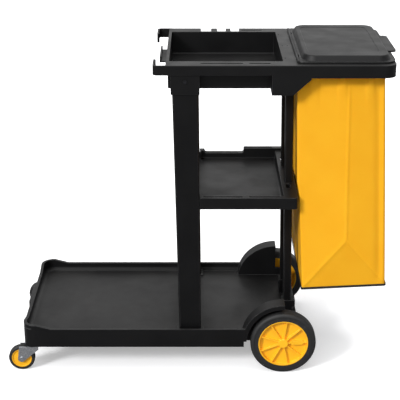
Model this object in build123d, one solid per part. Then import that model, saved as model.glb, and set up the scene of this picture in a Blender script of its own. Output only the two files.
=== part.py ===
from build123d import *
import os

# Housekeeping cart, in millimetres. +X points to the bag end, +Y to the cart's right side, +Z up.
# The origin is on the floor, below the centre of the overall box. "Left" pieces are on the -Y side.

# ---- fits ----
SEAT_GAP = 0.3  # between pieces that slot together
RUN_GAP = 0.05  # radial, around pins, axles, bolts and screws
CUT_OVER = 1.0  # how far a cut runs past the face it opens
MERGE = 1.0  # how far a joined piece sinks into its neighbour

# ---- rear wheels and their axle ----
WHEEL_R = 100.0
WHEEL_WIDTH = 42.0
RIM_R = 76.5
BARREL_WALL = 4.0
WEB_THICK = 4.0
WEB_INSET = 11.0
RIB_COUNT = 9
RIB_FIRST = 2.0
RIB_THICK = 3.6
RIB_INSET = 3.0
LUG_WIDTH = 13.0
LUG_INNER = 24.0
LUG_OUTER = 62.0
LUG_EDGE_R = 5.85
AXLE_R = 6.0
BUSH_WALL = 2.5
HUB_WALL = 6.45
HUB_POCKET = 9.0
POCKET_MARGIN = 2.5
HUB_CAP_THICK = 2.0
HUB_CAP_RISE = 1.5
HUB_CAP_EDGE_R = 1.0
PUSH_NUT_WALL = 3.5
PUSH_NUT_THICK = 2.0
AXLE_INSET = 5.5
SPACER_WALL = 5.5
TYRE_SHOULDER = 9.0
GROOVE = 1.0  # the depth and half the width of the tyre's groove
FACE_STEP = 1.0  # the rim's and the hub's steps back from the tyre's outer face

# ---- deck ----
DECK_FRONT = -530.0
DECK_HALF = 245.0
AXLE_DROP = 14.0  # the skirt's lower edge below the axle
RIM_HEIGHT = 60.0
FLOOR_RISE = 34.0
FLOOR_THICK = 6.0
RIM_WALL = 9.0
SKIRT_WALL = 5.0
DECK_CORNER_R = 40.0
DECK_COVE_R = 14.0
CORNER_RISE = 12.0
CORNER_FLAT = 42.0
CORNER_RAMP = 45.0
BUMPER_HALF = 58.0
BUMPER_DEPTH = 6.0
BUMPER_EDGE_R = 5.0
DECK_RIB = 4.0
DECK_RIB_RISE = 8.0
CROSS_RIBS = 4

# ---- wheel arches ----
AXLE_INBOARD = 47.0  # the axle in front of the deck's rear end
WHEEL_PROUD = 7.0  # the wheel's outer face beyond the deck's side
ARCH_CLEAR = 12.0
ARCH_THICK = 14.0
WELL_GAP = 7.0  # between the wheel's inner face and the well's wall
ARCH_STEP_RISE = 18.0
ARCH_STEP_GAP = 8.0
ARCH_FRONT_END = 2.0  # the arch's front part ends behind the axle
WELL_OUT = 20.0  # the well's cut beyond the deck's side
WELL_SINK = 4.0  # the well's square rear part below its crown
ARCH_HEADROOM = 20.0  # the deck's cavity above the arches

# ---- front casters ----
STEM_BACK = 27.0  # the stem behind the deck's front end
STEM_INSET = 23.0  # the stem inside the deck's side
CASTER_HEADROOM = 6.0  # between the caster wheel and the skirt's lower edge
CASTER_WIDTH = 22.0
CASTER_TRAIL = 36.0
CASTER_TREAD = 9.0
BOSS_R = 21.0
BOSS_DROP = 2.0
STEM_R = 5.0
STEM_REACH = 29.0
STEM_FLANGE_R = 19.0
STEM_FLANGE = 2.6
STEM_HEAD_R = 8.0
STEM_HEAD = 2.6
CROWN_THICK = 2.5
CROWN_HALF = 17.0
CHEEK_THICK = 2.5
CHEEK_GAP = 1.2
EYE_WALL = 7.0
FORK_WAIST = 0.7  # the cheek's lower rear corner, as a share of the eye's radius
BOLT_R = 4.0
BOLT_HEAD_R = 7.0
BOLT_HEAD = 4.0
CASTER_BUSH_WALL = 2.0
CASTER_HUB_WALL = 4.0
CASTER_BARREL_WALL = 3.0
CASTER_BOWL = 4.0

# ---- front uprights ----
UPRIGHT_INSET = 20.0  # the upright's outer face inside the deck's side
UPRIGHT_DEPTH = 34.0
UPRIGHT_WALL = 4.0
UPRIGHT_EDGE = 3.0
UPRIGHT_FOOT_X = (-51.7, 14.2)
UPRIGHT_TOP_X = (-69.0, 5.5)
PAD_RISE = 6.0
PAD_MARGIN = 7.0
SPIGOT_HEIGHT = 46.0

# ---- rear posts ----
POST_Y = (60.0, 90.0)
POST_DEPTH = 24.0
POST_LEAN = 13.5
POST_WALL = 3.0
POST_EDGE = 2.0
SOCKET_WALL = 3.0
SOCKET_HEIGHT = 48.0
POST_SETBACK = 2.5  # the post's top in front of the lid's hinge
SOCKET_TAIL = 9.0  # the socket's rear wall beyond its other walls
SOCKET_MARGIN = 13.0  # between the post's foot and the deck's rear end

# ---- top tray ----
TRAY_TOP = 966.0
TRAY_PROUD = 8.0  # the tray's skirt beyond the uprights' outer faces
TRAY_LEAD = 17.0  # the tray's front end in front of the uprights
TRAY_REAR = 563.0
TRAY_SKIRT = 28.0
TRAY_WALL = 5.0
TRAY_REAR_R = 34.0
TRAY_FRONT_R = 6.0
TRAY_EDGE_R = 2.0
UPRIGHT_COVER = 32.0  # the uprights' tops below the tray's top
POST_COVER = 22.0
BIN_MARGIN = 9.0  # between the bin and the tray's front end
BIN_CLEAR = 8.0  # between the bin and the uprights' inner faces
BIN_WALL = 4.0
BIN_DEPTH = 70.0
BIN_FLOOR = 8.0
BIN_CORNER_R = 6.0
BIN_FLOOR_R = 5.0
STRIP = 10.0  # between the bin and the posts' head block
BEAM_WIDTH = 60.0
BEAM_SETBACK = 15.0  # between the beam and the hinge
BEAM_DEPTH = 86.0
GUSSET_RUN = 50.0
GUSSET_DROP = 32.0
HEAD_BLOCK_HALF = 100.0
HEAD_WALL_FRONT = 5.5
HEAD_WALL_REAR = 4.5
COLLAR_DEPTH = 85.0
COLLAR_WALL = 3.4
RING_MARGIN = 24.0
RING_FRONT = 18.0
RING_SIDE = 43.0
RING_CORNER_R = 22.0
RING_LIP = 8.0
RING_LIP_WALL = 3.0
SLOT_INSET = 27.0
SLOT_WIDTH = 9.0
LEFT_SLOTS = ((276.0, 156.0), (140.0, 78.0))  # ends, in front of the hinge
RIGHT_SLOT = (148.0, 82.0)
NOTCH = (274.0, 154.0)
NOTCH_DEPTH = 42.0
STUBS = ((242.0, 223.0), (196.0, 181.0))
STUB_INSET = 3.0
HOLE_R = 2.6
SIDE_HOLES_BACK = 34.0
SIDE_HOLES_Y = 147.0
MID_HOLES_BACK = (32.0, 18.0)
HOOK_REACH = 36.0
HOOK_TONGUE = 71.0
HOOK_THICK = 5.0
HOOK_R = 14.0
HOOK_TONGUE_R = 3.6
LUG_REACH = 21.0
LUG_HALF = 70.0
LUG_LIP = 12.0
LUG_EDGE = 2.0

# ---- lid ----
HINGE_X = 288.0
HINGE_RISE = 4.0
BARREL_R = 3.5
BARREL_INSET = 7.0
KNUCKLE_Y = (125.0, 155.0)
KNUCKLE_CLEAR = 2.0  # behind the knuckle, for the lid's swing
PIN_R = 1.5
PIN_Y = (110.0, 170.0)
LID_SIDE = 21.0  # the lid's edge inside the tray's side
LID_GAP = 0.3
LID_FLANGE = 4.7
LID_REAR_R = 38.0
LID_FRONT_R = 10.0
DOME_MARGIN = (10.0, 10.0)
DOME_SIDE = 9.0
DOME_R = 40.0
DOME_RISE = 15.0
DOME_TAPER = 28.0
DOME_EDGE_R = 5.0
LID_SHELL = 3.0
PANEL_MARGIN = (20.0, 31.0)
PANEL_SIDE = 37.0
PANEL_R = 24.0
PANEL_DEPTH = 1.2
TAB_REACH = 16.0
TAB_HALF = 95.0
TAB_THICK = 5.0
TAB_LIP = 4.0
TAB_R = 12.0

# ---- bag ----
BAG_SIDE = 33.0  # the bag inside the tray's side
BAG_WALL = 2.0
BAG_FRONT_GAP = 1.5
BAG_REAR_GAP = 27.0
BAG_TOP_DROP = 14.0
BAG_HEM = 24.0
BAG_NECK = (89.0, 1.5)  # depth below the tray's top, and run behind the hem
BAG_BELLY = (2.0, 4.0)  # height above the shelf's rim, and run behind the shelf's rear end
BAG_FRONT_DEPTH = 702.0
BAG_REAR_DEPTH = 689.0
BAG_FRONT_RUN = 28.5
BAG_REAR_RUN = 37.0
BOARD_THICK = 4.0
PEG_DROP = 21.0
PEG_R = 2.5
PEG_HEAD_R = 3.6
PEG_HEAD = 2.0
PEG_REACH = 6.0
SIDE_PEGS = 3
SIDE_PEG_MARGIN = 43.0
END_PEGS_Y = 140.0
EYELET_R = 4.5
EYELET_WALL = 0.8
EYELET_FLANGE_R = 7.0

# ---- middle shelf ----
SHELF_TOP = 567.0
SHELF_HEIGHT = 35.0
SHELF_DEPTH = 28.0
SHELF_FLOOR_THICK = 4.0
SHELF_RIM = 22.0
SHELF_TAIL = 12.5  # the shelf's rear end behind the posts' tops
SHELF_LEAD = 4.0  # the shelf's front end behind the uprights' front faces
SHELF_STRIP = 11.0  # between the shelf's tray and the rear posts
SHELF_PLATE = 4.0
SHELF_WALL = 4.0
SHELF_COVE_R = 6.0
SHELF_CORNER_R = 10.0
SLEEVE_WALL = 6.0
SHELF_RAISED = 144.0  # the raised rim's length, from the shelf's rear end
SHELF_RAISE = 7.5
SHELF_DIP = 9.0  # the right rim's dip in front of its raised part
SHELF_DIP_LONG = 128.0
SHELF_DIP_R = 7.0
SHELF_SLOTS = ((278.0, 161.0), (144.0, 50.0))  # ends, in front of the shelf's rear end
SHELF_SLOT_INSET = 12.0
SHELF_SLOT_WIDTH = 8.0
STRIP_SLOTS_Y = (104.0, 140.0)
STRIP_SLOT_BACK = 23.0
STRIP_SLOT_WIDTH = 12.0
STRIP_SLOT_R = 5.0

# ---- screws ----
SCREW_R = 2.5
SCREW_HEAD_R = 5.5
SCREW_HEAD = 3.0
SCREW_BITE = 8.0
COLLAR_SCREW_DROP = 16.0
FOOT_SCREW_RISE = 32.0
SHELF_SCREW_DROP = 14.0
SHELF_SCREWS = (19.0, 49.0)  # behind the uprights' front faces
HEAD_SCREW_DROP = 29.0

# ---- worked out from the values above: heights ----
AXLE_Z = WHEEL_R
SKIRT_LOW = AXLE_Z - AXLE_DROP
RIM_TOP = SKIRT_LOW + RIM_HEIGHT
FLOOR_TOP = SKIRT_LOW + FLOOR_RISE
DECK_RIB_LOW = SKIRT_LOW + DECK_RIB_RISE
BOSS_LOW = SKIRT_LOW - BOSS_DROP
CASTER_R = (SKIRT_LOW - CASTER_HEADROOM) / 2
STEM_TOP = BOSS_LOW + STEM_REACH
CROWN_TOP = BOSS_LOW - STEM_FLANGE - SEAT_GAP
CROWN_LOW = CROWN_TOP - CROWN_THICK
SKIRT_Z = TRAY_TOP - TRAY_SKIRT
PLATE_LOW = TRAY_TOP - TRAY_WALL
UPRIGHT_FOOT_Z = FLOOR_TOP + PAD_RISE
UPRIGHT_TOP_Z = TRAY_TOP - UPRIGHT_COVER
POST_TOP_Z = TRAY_TOP - POST_COVER
SOCKET_TOP = FLOOR_TOP + SOCKET_HEIGHT
BEAM_LOW = TRAY_TOP - BEAM_DEPTH
SHELF_LOW = SHELF_TOP - SHELF_HEIGHT
SHELF_FLOOR = SHELF_TOP - SHELF_DEPTH
HINGE_Z = TRAY_TOP + HINGE_RISE
LID_LOW = TRAY_TOP + LID_GAP
LID_FLANGE_TOP = LID_LOW + LID_FLANGE
DOME_TOP = LID_FLANGE_TOP + DOME_RISE
BAG_TOP_Z = TRAY_TOP - BAG_TOP_DROP
PEG_Z = TRAY_TOP - PEG_DROP
COLLAR_SCREW_Z = UPRIGHT_TOP_Z - COLLAR_SCREW_DROP
FOOT_SCREW_Z = FLOOR_TOP + FOOT_SCREW_RISE
SHELF_SCREW_Z = SHELF_TOP - SHELF_SCREW_DROP
HEAD_SCREW_Z = POST_TOP_Z - HEAD_SCREW_DROP

# ---- across the cart ----
WHEEL_FACE = DECK_HALF + WHEEL_PROUD
WHEEL_BACK = WHEEL_FACE - WHEEL_WIDTH
ARCH_SIDE = WHEEL_BACK - WELL_GAP
ARCH_WALL_IN = ARCH_SIDE - SKIRT_WALL
STEM_Y = DECK_HALF - STEM_INSET
UPRIGHT_FACE = DECK_HALF - UPRIGHT_INSET
UPRIGHT_BACK = UPRIGHT_FACE - UPRIGHT_DEPTH
UPRIGHT_Y = (-UPRIGHT_FACE, -UPRIGHT_BACK)
POST_SPAN = (-POST_Y[1], -POST_Y[0])
POST_MID_Y = sum(POST_SPAN) / 2
TRAY_HALF = UPRIGHT_FACE + TRAY_PROUD
BIN_HALF = UPRIGHT_BACK - BIN_CLEAR
RING_HALF = TRAY_HALF - RING_SIDE
BAG_HALF = TRAY_HALF - BAG_SIDE
LID_HALF = TRAY_HALF - LID_SIDE
BARREL_HALF = LID_HALF - BARREL_INSET
DOME_HALF = LID_HALF - DOME_SIDE
PANEL_HALF = DOME_HALF - PANEL_SIDE
SLOT_Y = TRAY_HALF - SLOT_INSET
SHELF_HALF = UPRIGHT_FACE
SHELF_SIDE_Y = UPRIGHT_BACK - SEAT_GAP
SHELF_INNER_HALF = SHELF_HALF - SHELF_RIM
SHELF_SLOT_Y = SHELF_HALF - SHELF_SLOT_INSET
COLLAR_SEAT = -UPRIGHT_FACE - SEAT_GAP - COLLAR_WALL
HUB_R = AXLE_R + BUSH_WALL + HUB_WALL + RUN_GAP
HUB_CAP_R = AXLE_R + BUSH_WALL + POCKET_MARGIN
PUSH_NUT_R = AXLE_R + PUSH_NUT_WALL
AXLE_END = WHEEL_FACE - AXLE_INSET
WHEEL_Y = (-STEM_Y - CASTER_WIDTH / 2, -STEM_Y + CASTER_WIDTH / 2)
FORK_Y = (WHEEL_Y[0] - CHEEK_GAP - CHEEK_THICK, WHEEL_Y[1] + CHEEK_GAP + CHEEK_THICK)

# ---- along the cart ----
POST_TOP_X = (HINGE_X - POST_SETBACK - POST_DEPTH, HINGE_X - POST_SETBACK)
POST_FOOT_X = (POST_TOP_X[0] + POST_LEAN, POST_TOP_X[1] + POST_LEAN)
DECK_REAR = POST_FOOT_X[1] + SOCKET_MARGIN
AXLE_X = DECK_REAR - AXLE_INBOARD
WELL_R = WHEEL_R + ARCH_CLEAR
ARCH_R = WELL_R + ARCH_THICK
ARCH_END_X = AXLE_X + ARCH_FRONT_END
ARCH_STEP_X = AXLE_X - WELL_R - ARCH_STEP_GAP
ARCH_STEP_Z = SKIRT_LOW + ARCH_STEP_RISE
WELL_SQUARE_TOP = AXLE_Z + WELL_R - WELL_SINK
ARCH_TOP = AXLE_Z + ARCH_R
CAVITY_TOP = ARCH_TOP + ARCH_HEADROOM
STEM_X = DECK_FRONT + STEM_BACK
CASTER_X = STEM_X - CASTER_TRAIL
CASTER_RIM_R = CASTER_R - CASTER_TREAD
CASTER_HUB_R = BOLT_R + CASTER_BUSH_WALL + CASTER_HUB_WALL
TRAY_FRONT = UPRIGHT_TOP_X[0] - TRAY_LEAD
SHELF_REAR = POST_TOP_X[1] + SHELF_TAIL
BEAM_X = (HINGE_X - BEAM_SETBACK - BEAM_WIDTH, HINGE_X - BEAM_SETBACK)
HEAD_BLOCK_X = (POST_TOP_X[0] - HEAD_WALL_FRONT, POST_TOP_X[1] + HEAD_WALL_REAR)
BIN_X = (TRAY_FRONT + BIN_MARGIN, HEAD_BLOCK_X[0] - STRIP)
RING_X = (HINGE_X + RING_FRONT, TRAY_REAR - RING_MARGIN)
LID_REAR = TRAY_REAR
DOME_X = (HINGE_X + DOME_MARGIN[0], LID_REAR - DOME_MARGIN[1])
PANEL_X = (DOME_X[0] + PANEL_MARGIN[0], DOME_X[1] - PANEL_MARGIN[1])
TAB_TIP = LID_REAR + TAB_REACH
BAG_TOP_X = (HEAD_BLOCK_X[1] + BAG_FRONT_GAP, TRAY_REAR - BAG_REAR_GAP)
HOLES_AT = (
    (HINGE_X - SIDE_HOLES_BACK, -SIDE_HOLES_Y),
    (HINGE_X - SIDE_HOLES_BACK, SIDE_HOLES_Y),
    (HINGE_X - MID_HOLES_BACK[0], 0.0),
    (HINGE_X - MID_HOLES_BACK[1], 0.0),
)
LOW, HIGH = -50.0, 2 * TRAY_TOP  # below and above the whole cart, for cuts that run through


def block(x, y, z):
    """A box between the low and high values of each axis."""
    centre = Pos(sum(x) / 2, sum(y) / 2, sum(z) / 2)
    return centre * Box(x[1] - x[0], y[1] - y[0], z[1] - z[0])


def side_plate(points, y):
    """An outline of (x, z) points, spanning the two y values."""
    outline = Polyline(*[(px, y[0], pz) for px, pz in points], close=True)
    return extrude(make_face(outline), amount=y[1] - y[0], dir=(0, 1, 0))


def front_plate(points, x):
    """An outline of (y, z) points, spanning the two x values."""
    outline = Polyline(*[(x[0], py, pz) for py, pz in points], close=True)
    return extrude(make_face(outline), amount=x[1] - x[0], dir=(1, 0, 0))


def disc(radius, y, x, z):
    """A cylinder along Y between the two y values."""
    return Pos(x, sum(y) / 2, z) * Rot(90, 0, 0) * Cylinder(radius, y[1] - y[0])


def rod(radius, x, y, z):
    """A cylinder along X between the two x values."""
    return Pos(sum(x) / 2, y, z) * Rot(0, 90, 0) * Cylinder(radius, x[1] - x[0])


def post(radius, x, y, z):
    """A cylinder along Z between the two z values."""
    return Pos(x, y, sum(z) / 2) * Cylinder(radius, z[1] - z[0])


def both(shape):
    """The left-hand shape and its mirror image on the right."""
    return Part() + [shape, mirror(shape, about=Plane.XZ)]


def right(shape):
    """The right-hand twin of a left-hand shape."""
    return mirror(shape, about=Plane.XZ)


def upright_edges(shape, axis, end):
    """The vertical edges at the low (0) or high (-1) end of an axis."""
    return shape.edges().filter_by(Axis.Z).group_by(axis)[end]


def slot(x, y, z, width):
    """A straight slot along X with round ends."""
    radius = width / 2
    bar = block((x[0] + radius, x[1] - radius), (y - radius, y + radius), z)
    ends = [post(radius, end, y, z) for end in (x[0] + radius, x[1] - radius)]
    return Part() + [bar, *ends]


def past(span):
    """The same span, running past both faces for a cut."""
    return (span[0] - CUT_OVER, span[1] + CUT_OVER)


def ahead(x, ends):
    """The x span whose ends are given as distances in front of x."""
    return (x - ends[0], x - ends[1])


def lean(foot, top, foot_z, top_z, z):
    """The x of a leaning edge at height z."""
    return foot + (top - foot) * (z - foot_z) / (top_z - foot_z)


def leaning_prism(foot, top, ends_z, y, z, grow=0.0):
    """A leaning four-sided prism between two heights, grown sideways by a margin."""
    corners = []
    for height in z:
        low = lean(foot[0], top[0], *ends_z, height) - grow
        high = lean(foot[1], top[1], *ends_z, height) + grow
        corners.append((low, high, height))
    (low_a, high_a, z_a), (low_b, high_b, z_b) = corners
    points = [(low_a, z_a), (high_a, z_a), (high_b, z_b), (low_b, z_b)]
    return side_plate(points, (y[0] - grow, y[1] + grow))


def upright_prism(z, grow=0.0):
    """The left front upright's outer form between two heights."""
    ends = (UPRIGHT_FOOT_Z, UPRIGHT_TOP_Z)
    return leaning_prism(UPRIGHT_FOOT_X, UPRIGHT_TOP_X, ends, UPRIGHT_Y, z, grow)


def upright_x(z):
    """The front and rear x of a front upright at height z."""
    ends = (UPRIGHT_FOOT_Z, UPRIGHT_TOP_Z)
    return [lean(foot, top, *ends, z) for foot, top in zip(UPRIGHT_FOOT_X, UPRIGHT_TOP_X)]


def post_prism(z, grow=0.0):
    """The left rear post's outer form between two heights."""
    return leaning_prism(POST_FOOT_X, POST_TOP_X, (FLOOR_TOP, POST_TOP_Z), POST_SPAN, z, grow)


def post_x(z):
    """The front and rear x of a rear post at height z."""
    ends = (FLOOR_TOP, POST_TOP_Z)
    return [lean(foot, top, *ends, z) for foot, top in zip(POST_FOOT_X, POST_TOP_X)]


# ---- screws: each is given by its head's seat, and points away from the head ----


def screw_y(x, seat, z, way, grip):
    """A pan-head screw along Y; way is +1 or -1, the direction it is driven."""
    head = disc(SCREW_HEAD_R, sorted((seat - way * SCREW_HEAD, seat)), x, z)
    return head + disc(SCREW_R, sorted((seat, seat + way * grip)), x, z)


def screw_x(seat, y, z, grip):
    """A pan-head screw driven along +X."""
    head = rod(SCREW_HEAD_R, (seat - SCREW_HEAD, seat), y, z)
    return head + rod(SCREW_R, (seat, seat + grip), y, z)


def collar_screw():
    """Fixes the tray's collar to the left upright."""
    grip = COLLAR_WALL + SEAT_GAP + UPRIGHT_WALL + SCREW_BITE
    x = sum(upright_x(COLLAR_SCREW_Z)) / 2
    return screw_y(x, COLLAR_SEAT, COLLAR_SCREW_Z, 1, grip)


def foot_screw():
    """Fixes the left upright's foot to the deck's spigot."""
    x = sum(upright_x(FOOT_SCREW_Z)) / 2
    return screw_y(x, -UPRIGHT_BACK, FOOT_SCREW_Z, -1, UPRIGHT_WALL + SEAT_GAP + SCREW_BITE)


def shelf_screw_places():
    """The x of each screw between the shelf and a front upright."""
    return [upright_x(SHELF_TOP)[0] + back for back in SHELF_SCREWS]


def shelf_screws():
    """Fix the shelf's side wall to the left upright."""
    grip = SHELF_WALL + SEAT_GAP + UPRIGHT_WALL + SCREW_BITE
    seat = -(SHELF_SIDE_Y - SHELF_WALL)
    screws = [screw_y(x, seat, SHELF_SCREW_Z, -1, grip) for x in shelf_screw_places()]
    return Part() + screws


def socket_front():
    """The x of the upright front face of the left rear post's socket."""
    return post_x(SOCKET_TOP)[0] - SEAT_GAP - SOCKET_WALL


def post_screw_seats():
    """The height and the seat of each screw of a rear post: in the deck, and in the tray."""
    return [(FOOT_SCREW_Z, socket_front()), (HEAD_SCREW_Z, HEAD_BLOCK_X[0])]


def post_screw_tip(z):
    """The x that the screws of a rear post reach at height z."""
    return post_x(z)[0] + POST_WALL + SCREW_BITE


def all_post_screws():
    """The left post's screws, in the deck socket and in the tray."""
    seats = post_screw_seats()
    return Part() + [screw_x(seat, POST_MID_Y, z, post_screw_tip(z) - seat) for z, seat in seats]


def all_upright_screws():
    """The left front upright's screws."""
    return Part() + [collar_screw(), foot_screw(), shelf_screws()]


def screw_holes_y(x, seat, z, way, grip):
    """The clearance hole of a screw along Y."""
    return disc(SCREW_R + RUN_GAP, sorted((seat, seat + way * (grip + SEAT_GAP))), x, z)


def upright_screw_holes():
    """Holes for every screw of the left front upright."""
    grip = SHELF_WALL + SEAT_GAP + UPRIGHT_WALL + SCREW_BITE + CUT_OVER
    x = sum(upright_x(COLLAR_SCREW_Z)) / 2
    collar = screw_holes_y(x, COLLAR_SEAT - CUT_OVER, COLLAR_SCREW_Z, 1, grip)
    x = sum(upright_x(FOOT_SCREW_Z)) / 2
    foot = screw_holes_y(x, -UPRIGHT_BACK + CUT_OVER, FOOT_SCREW_Z, -1, grip)
    seat = -(SHELF_SIDE_Y - SHELF_WALL) + CUT_OVER
    places = shelf_screw_places()
    shelf = [screw_holes_y(x, seat, SHELF_SCREW_Z, -1, grip) for x in places]
    return Part() + [collar, foot, *shelf]


def post_screw_holes():
    """Holes for every screw of the left rear post."""
    radius = SCREW_R + RUN_GAP
    spans = [(z, past((seat, post_screw_tip(z)))) for z, seat in post_screw_seats()]
    return Part() + [rod(radius, span, POST_MID_Y, z) for z, span in spans]


# ---- deck ----


def deck_body():
    """The deck's outer form: skirt, round front corners, bumper and raised corners."""
    body = block((DECK_FRONT, DECK_REAR), (-DECK_HALF, DECK_HALF), (SKIRT_LOW, RIM_TOP))
    body = fillet(upright_edges(body, Axis.X, 0), DECK_CORNER_R)
    nose = (DECK_FRONT - BUMPER_DEPTH, DECK_FRONT + BUMPER_DEPTH)
    bumper = block(nose, (-BUMPER_HALF, BUMPER_HALF), (SKIRT_LOW, RIM_TOP))
    body += fillet(upright_edges(bumper, Axis.X, 0), BUMPER_EDGE_R)
    return body + raised_corners()


def raised_corners():
    """The rim's rise around the two front corners."""
    top = RIM_TOP + CORNER_RISE
    flat, end = DECK_FRONT + CORNER_FLAT, DECK_FRONT + CORNER_FLAT + CORNER_RAMP
    tall = block((DECK_FRONT, end), (-DECK_HALF, DECK_HALF), (RIM_TOP, top))
    tall = fillet(upright_edges(tall, Axis.X, 0), DECK_CORNER_R)
    flank_y = DECK_HALF - CORNER_FLAT
    side = [(DECK_FRONT, RIM_TOP), (DECK_FRONT, top), (flat, top), (end, RIM_TOP)]
    flank = side_plate(side, (-DECK_HALF, -flank_y))
    nose = [(-DECK_HALF, RIM_TOP), (-DECK_HALF, top), (-flank_y, top), (CORNER_RAMP - flank_y, RIM_TOP)]
    front = front_plate(nose, (DECK_FRONT, flat))
    return tall & both(flank + front)


def deck_cavity():
    """The space above the deck's floor, which narrows between the wheel arches."""
    inner_half = DECK_HALF - RIM_WALL
    front_x = (DECK_FRONT + RIM_WALL, AXLE_X)
    front = block(front_x, (-inner_half, inner_half), (FLOOR_TOP, CAVITY_TOP))
    front = fillet(upright_edges(front, Axis.X, 0), DECK_CORNER_R - RIM_WALL)
    front = fillet(front.faces().sort_by(Axis.Z)[0].edges(), DECK_COVE_R)
    arch = disc(ARCH_R, (-DECK_HALF, -ARCH_WALL_IN), AXLE_X, AXLE_Z)
    front -= both(arch)
    rear_end = DECK_REAR - RIM_WALL
    rear = block((ARCH_STEP_X, rear_end), (-ARCH_WALL_IN, ARCH_WALL_IN), (FLOOR_TOP, CAVITY_TOP))
    return front + rear


def wheel_arch():
    """The left arch, which ends just behind the axle, with the well's inner wall."""
    ring = disc(ARCH_R, (-DECK_HALF, -ARCH_WALL_IN), AXLE_X, AXLE_Z)
    front = block((AXLE_X - ARCH_R, ARCH_END_X), (-DECK_HALF, -ARCH_WALL_IN), (SKIRT_LOW, CAVITY_TOP))
    return ring & front


def wheel_well():
    """The space that the left wheel needs."""
    outside = (-DECK_HALF - WELL_OUT, -ARCH_SIDE)
    well = disc(WELL_R, outside, AXLE_X, AXLE_Z)
    behind = block((AXLE_X, DECK_REAR + CUT_OVER), outside, (LOW, WELL_SQUARE_TOP))
    step = block((ARCH_STEP_X, AXLE_X), outside, (LOW, ARCH_STEP_Z))
    return Part() + [well, behind, step]


def deck_underside():
    """The hollow below the floor."""
    low = SKIRT_LOW - CUT_OVER
    high = FLOOR_TOP - FLOOR_THICK
    half = DECK_HALF - SKIRT_WALL
    front = block((DECK_FRONT + SKIRT_WALL, ARCH_STEP_X - SKIRT_WALL), (-half, half), (low, high))
    front = fillet(upright_edges(front, Axis.X, 0), DECK_CORNER_R - SKIRT_WALL)
    rear_x = (ARCH_STEP_X - 2 * SKIRT_WALL, DECK_REAR - SKIRT_WALL)
    rear = block(rear_x, (-ARCH_WALL_IN, ARCH_WALL_IN), (low, high))
    return front + rear


def deck_ribs():
    """Stiffening ribs below the floor."""
    z = (DECK_RIB_LOW, FLOOR_TOP - FLOOR_THICK)
    half = DECK_HALF - SKIRT_WALL
    pitch = (ARCH_STEP_X - DECK_FRONT) / CROSS_RIBS
    places = [DECK_FRONT + pitch * (number + 1) for number in range(CROSS_RIBS - 1)]
    cross = [block((x, x + DECK_RIB), (-half, half), z) for x in places]
    return Part() + cross


def upright_seat():
    """The raised pad and spigot that carry the left upright's foot."""
    foot = UPRIGHT_FOOT_X
    pad_x = (foot[0] - PAD_MARGIN, foot[1] + PAD_MARGIN)
    pad_y = (-(DECK_HALF - RIM_WALL), -(UPRIGHT_BACK - PAD_MARGIN))
    pad = block(pad_x, pad_y, (FLOOR_TOP - FLOOR_THICK, UPRIGHT_FOOT_Z))
    top = UPRIGHT_FOOT_Z + SPIGOT_HEIGHT
    spigot = upright_prism((UPRIGHT_FOOT_Z, top), -(UPRIGHT_WALL + SEAT_GAP))
    return pad + spigot


def post_socket():
    """The upright-sided socket of the left rear post."""
    margin = SEAT_GAP + SOCKET_WALL
    x = (socket_front(), POST_FOOT_X[1] + margin + SOCKET_TAIL)
    y = (POST_SPAN[0] - margin, POST_SPAN[1] + margin)
    return block(x, y, (FLOOR_TOP - FLOOR_THICK, SOCKET_TOP))


def base_platform():
    """Deck, skirt, wheel arches, caster bosses and the seats of the uprights."""
    deck = deck_body() + both(wheel_arch())
    deck += both(post(BOSS_R, STEM_X, -STEM_Y, (BOSS_LOW, RIM_TOP)))
    deck -= deck_cavity()
    deck -= deck_underside()
    deck += deck_ribs()
    deck += both(upright_seat())
    deck += both(post_socket())
    deck += both(post(BOSS_R, STEM_X, -STEM_Y, (BOSS_LOW, FLOOR_TOP - MERGE)))
    cuts = [
        wheel_well(),
        post_prism((FLOOR_TOP, SOCKET_TOP + CUT_OVER), SEAT_GAP),
        post(STEM_R + RUN_GAP, STEM_X, -STEM_Y, (BOSS_LOW - CUT_OVER, STEM_TOP + SEAT_GAP)),
        disc(AXLE_R + RUN_GAP, (-DECK_HALF, 0), AXLE_X, AXLE_Z),
        upright_screw_holes(),
        post_screw_holes(),
    ]
    return deck - both(Part() + cuts)


# ---- uprights ----


def front_upright():
    """The left front upright, a hollow leaning column."""
    outer = upright_prism((UPRIGHT_FOOT_Z, UPRIGHT_TOP_Z))
    long_edges = outer.edges().sort_by(SortBy.LENGTH)[-4:]
    outer = chamfer(long_edges, UPRIGHT_EDGE)
    tube = outer - upright_prism((UPRIGHT_FOOT_Z - CUT_OVER, UPRIGHT_TOP_Z + CUT_OVER), -UPRIGHT_WALL)
    return tube - upright_screw_holes()


def rear_post():
    """The left rear post, a hollow leaning column behind the shelf."""
    outer = post_prism((FLOOR_TOP, POST_TOP_Z))
    long_edges = outer.edges().sort_by(SortBy.LENGTH)[-4:]
    outer = chamfer(long_edges, POST_EDGE)
    tube = outer - post_prism((FLOOR_TOP - CUT_OVER, POST_TOP_Z + CUT_OVER), -POST_WALL)
    return tube - post_screw_holes()


# ---- middle shelf ----


def shelf_side_front():
    """The x where the shelf's wide part starts, behind the front uprights."""
    return max(upright_x(SHELF_LOW)[1], upright_x(SHELF_TOP)[1]) + SEAT_GAP


def shelf_front():
    """The shelf's front end, between the front uprights."""
    return upright_x(SHELF_TOP)[0] + SHELF_LEAD


def shelf_tray_rear():
    """The rear end of the shelf's tray, in front of the rear posts."""
    return post_x(SHELF_TOP)[0] - SHELF_STRIP


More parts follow.
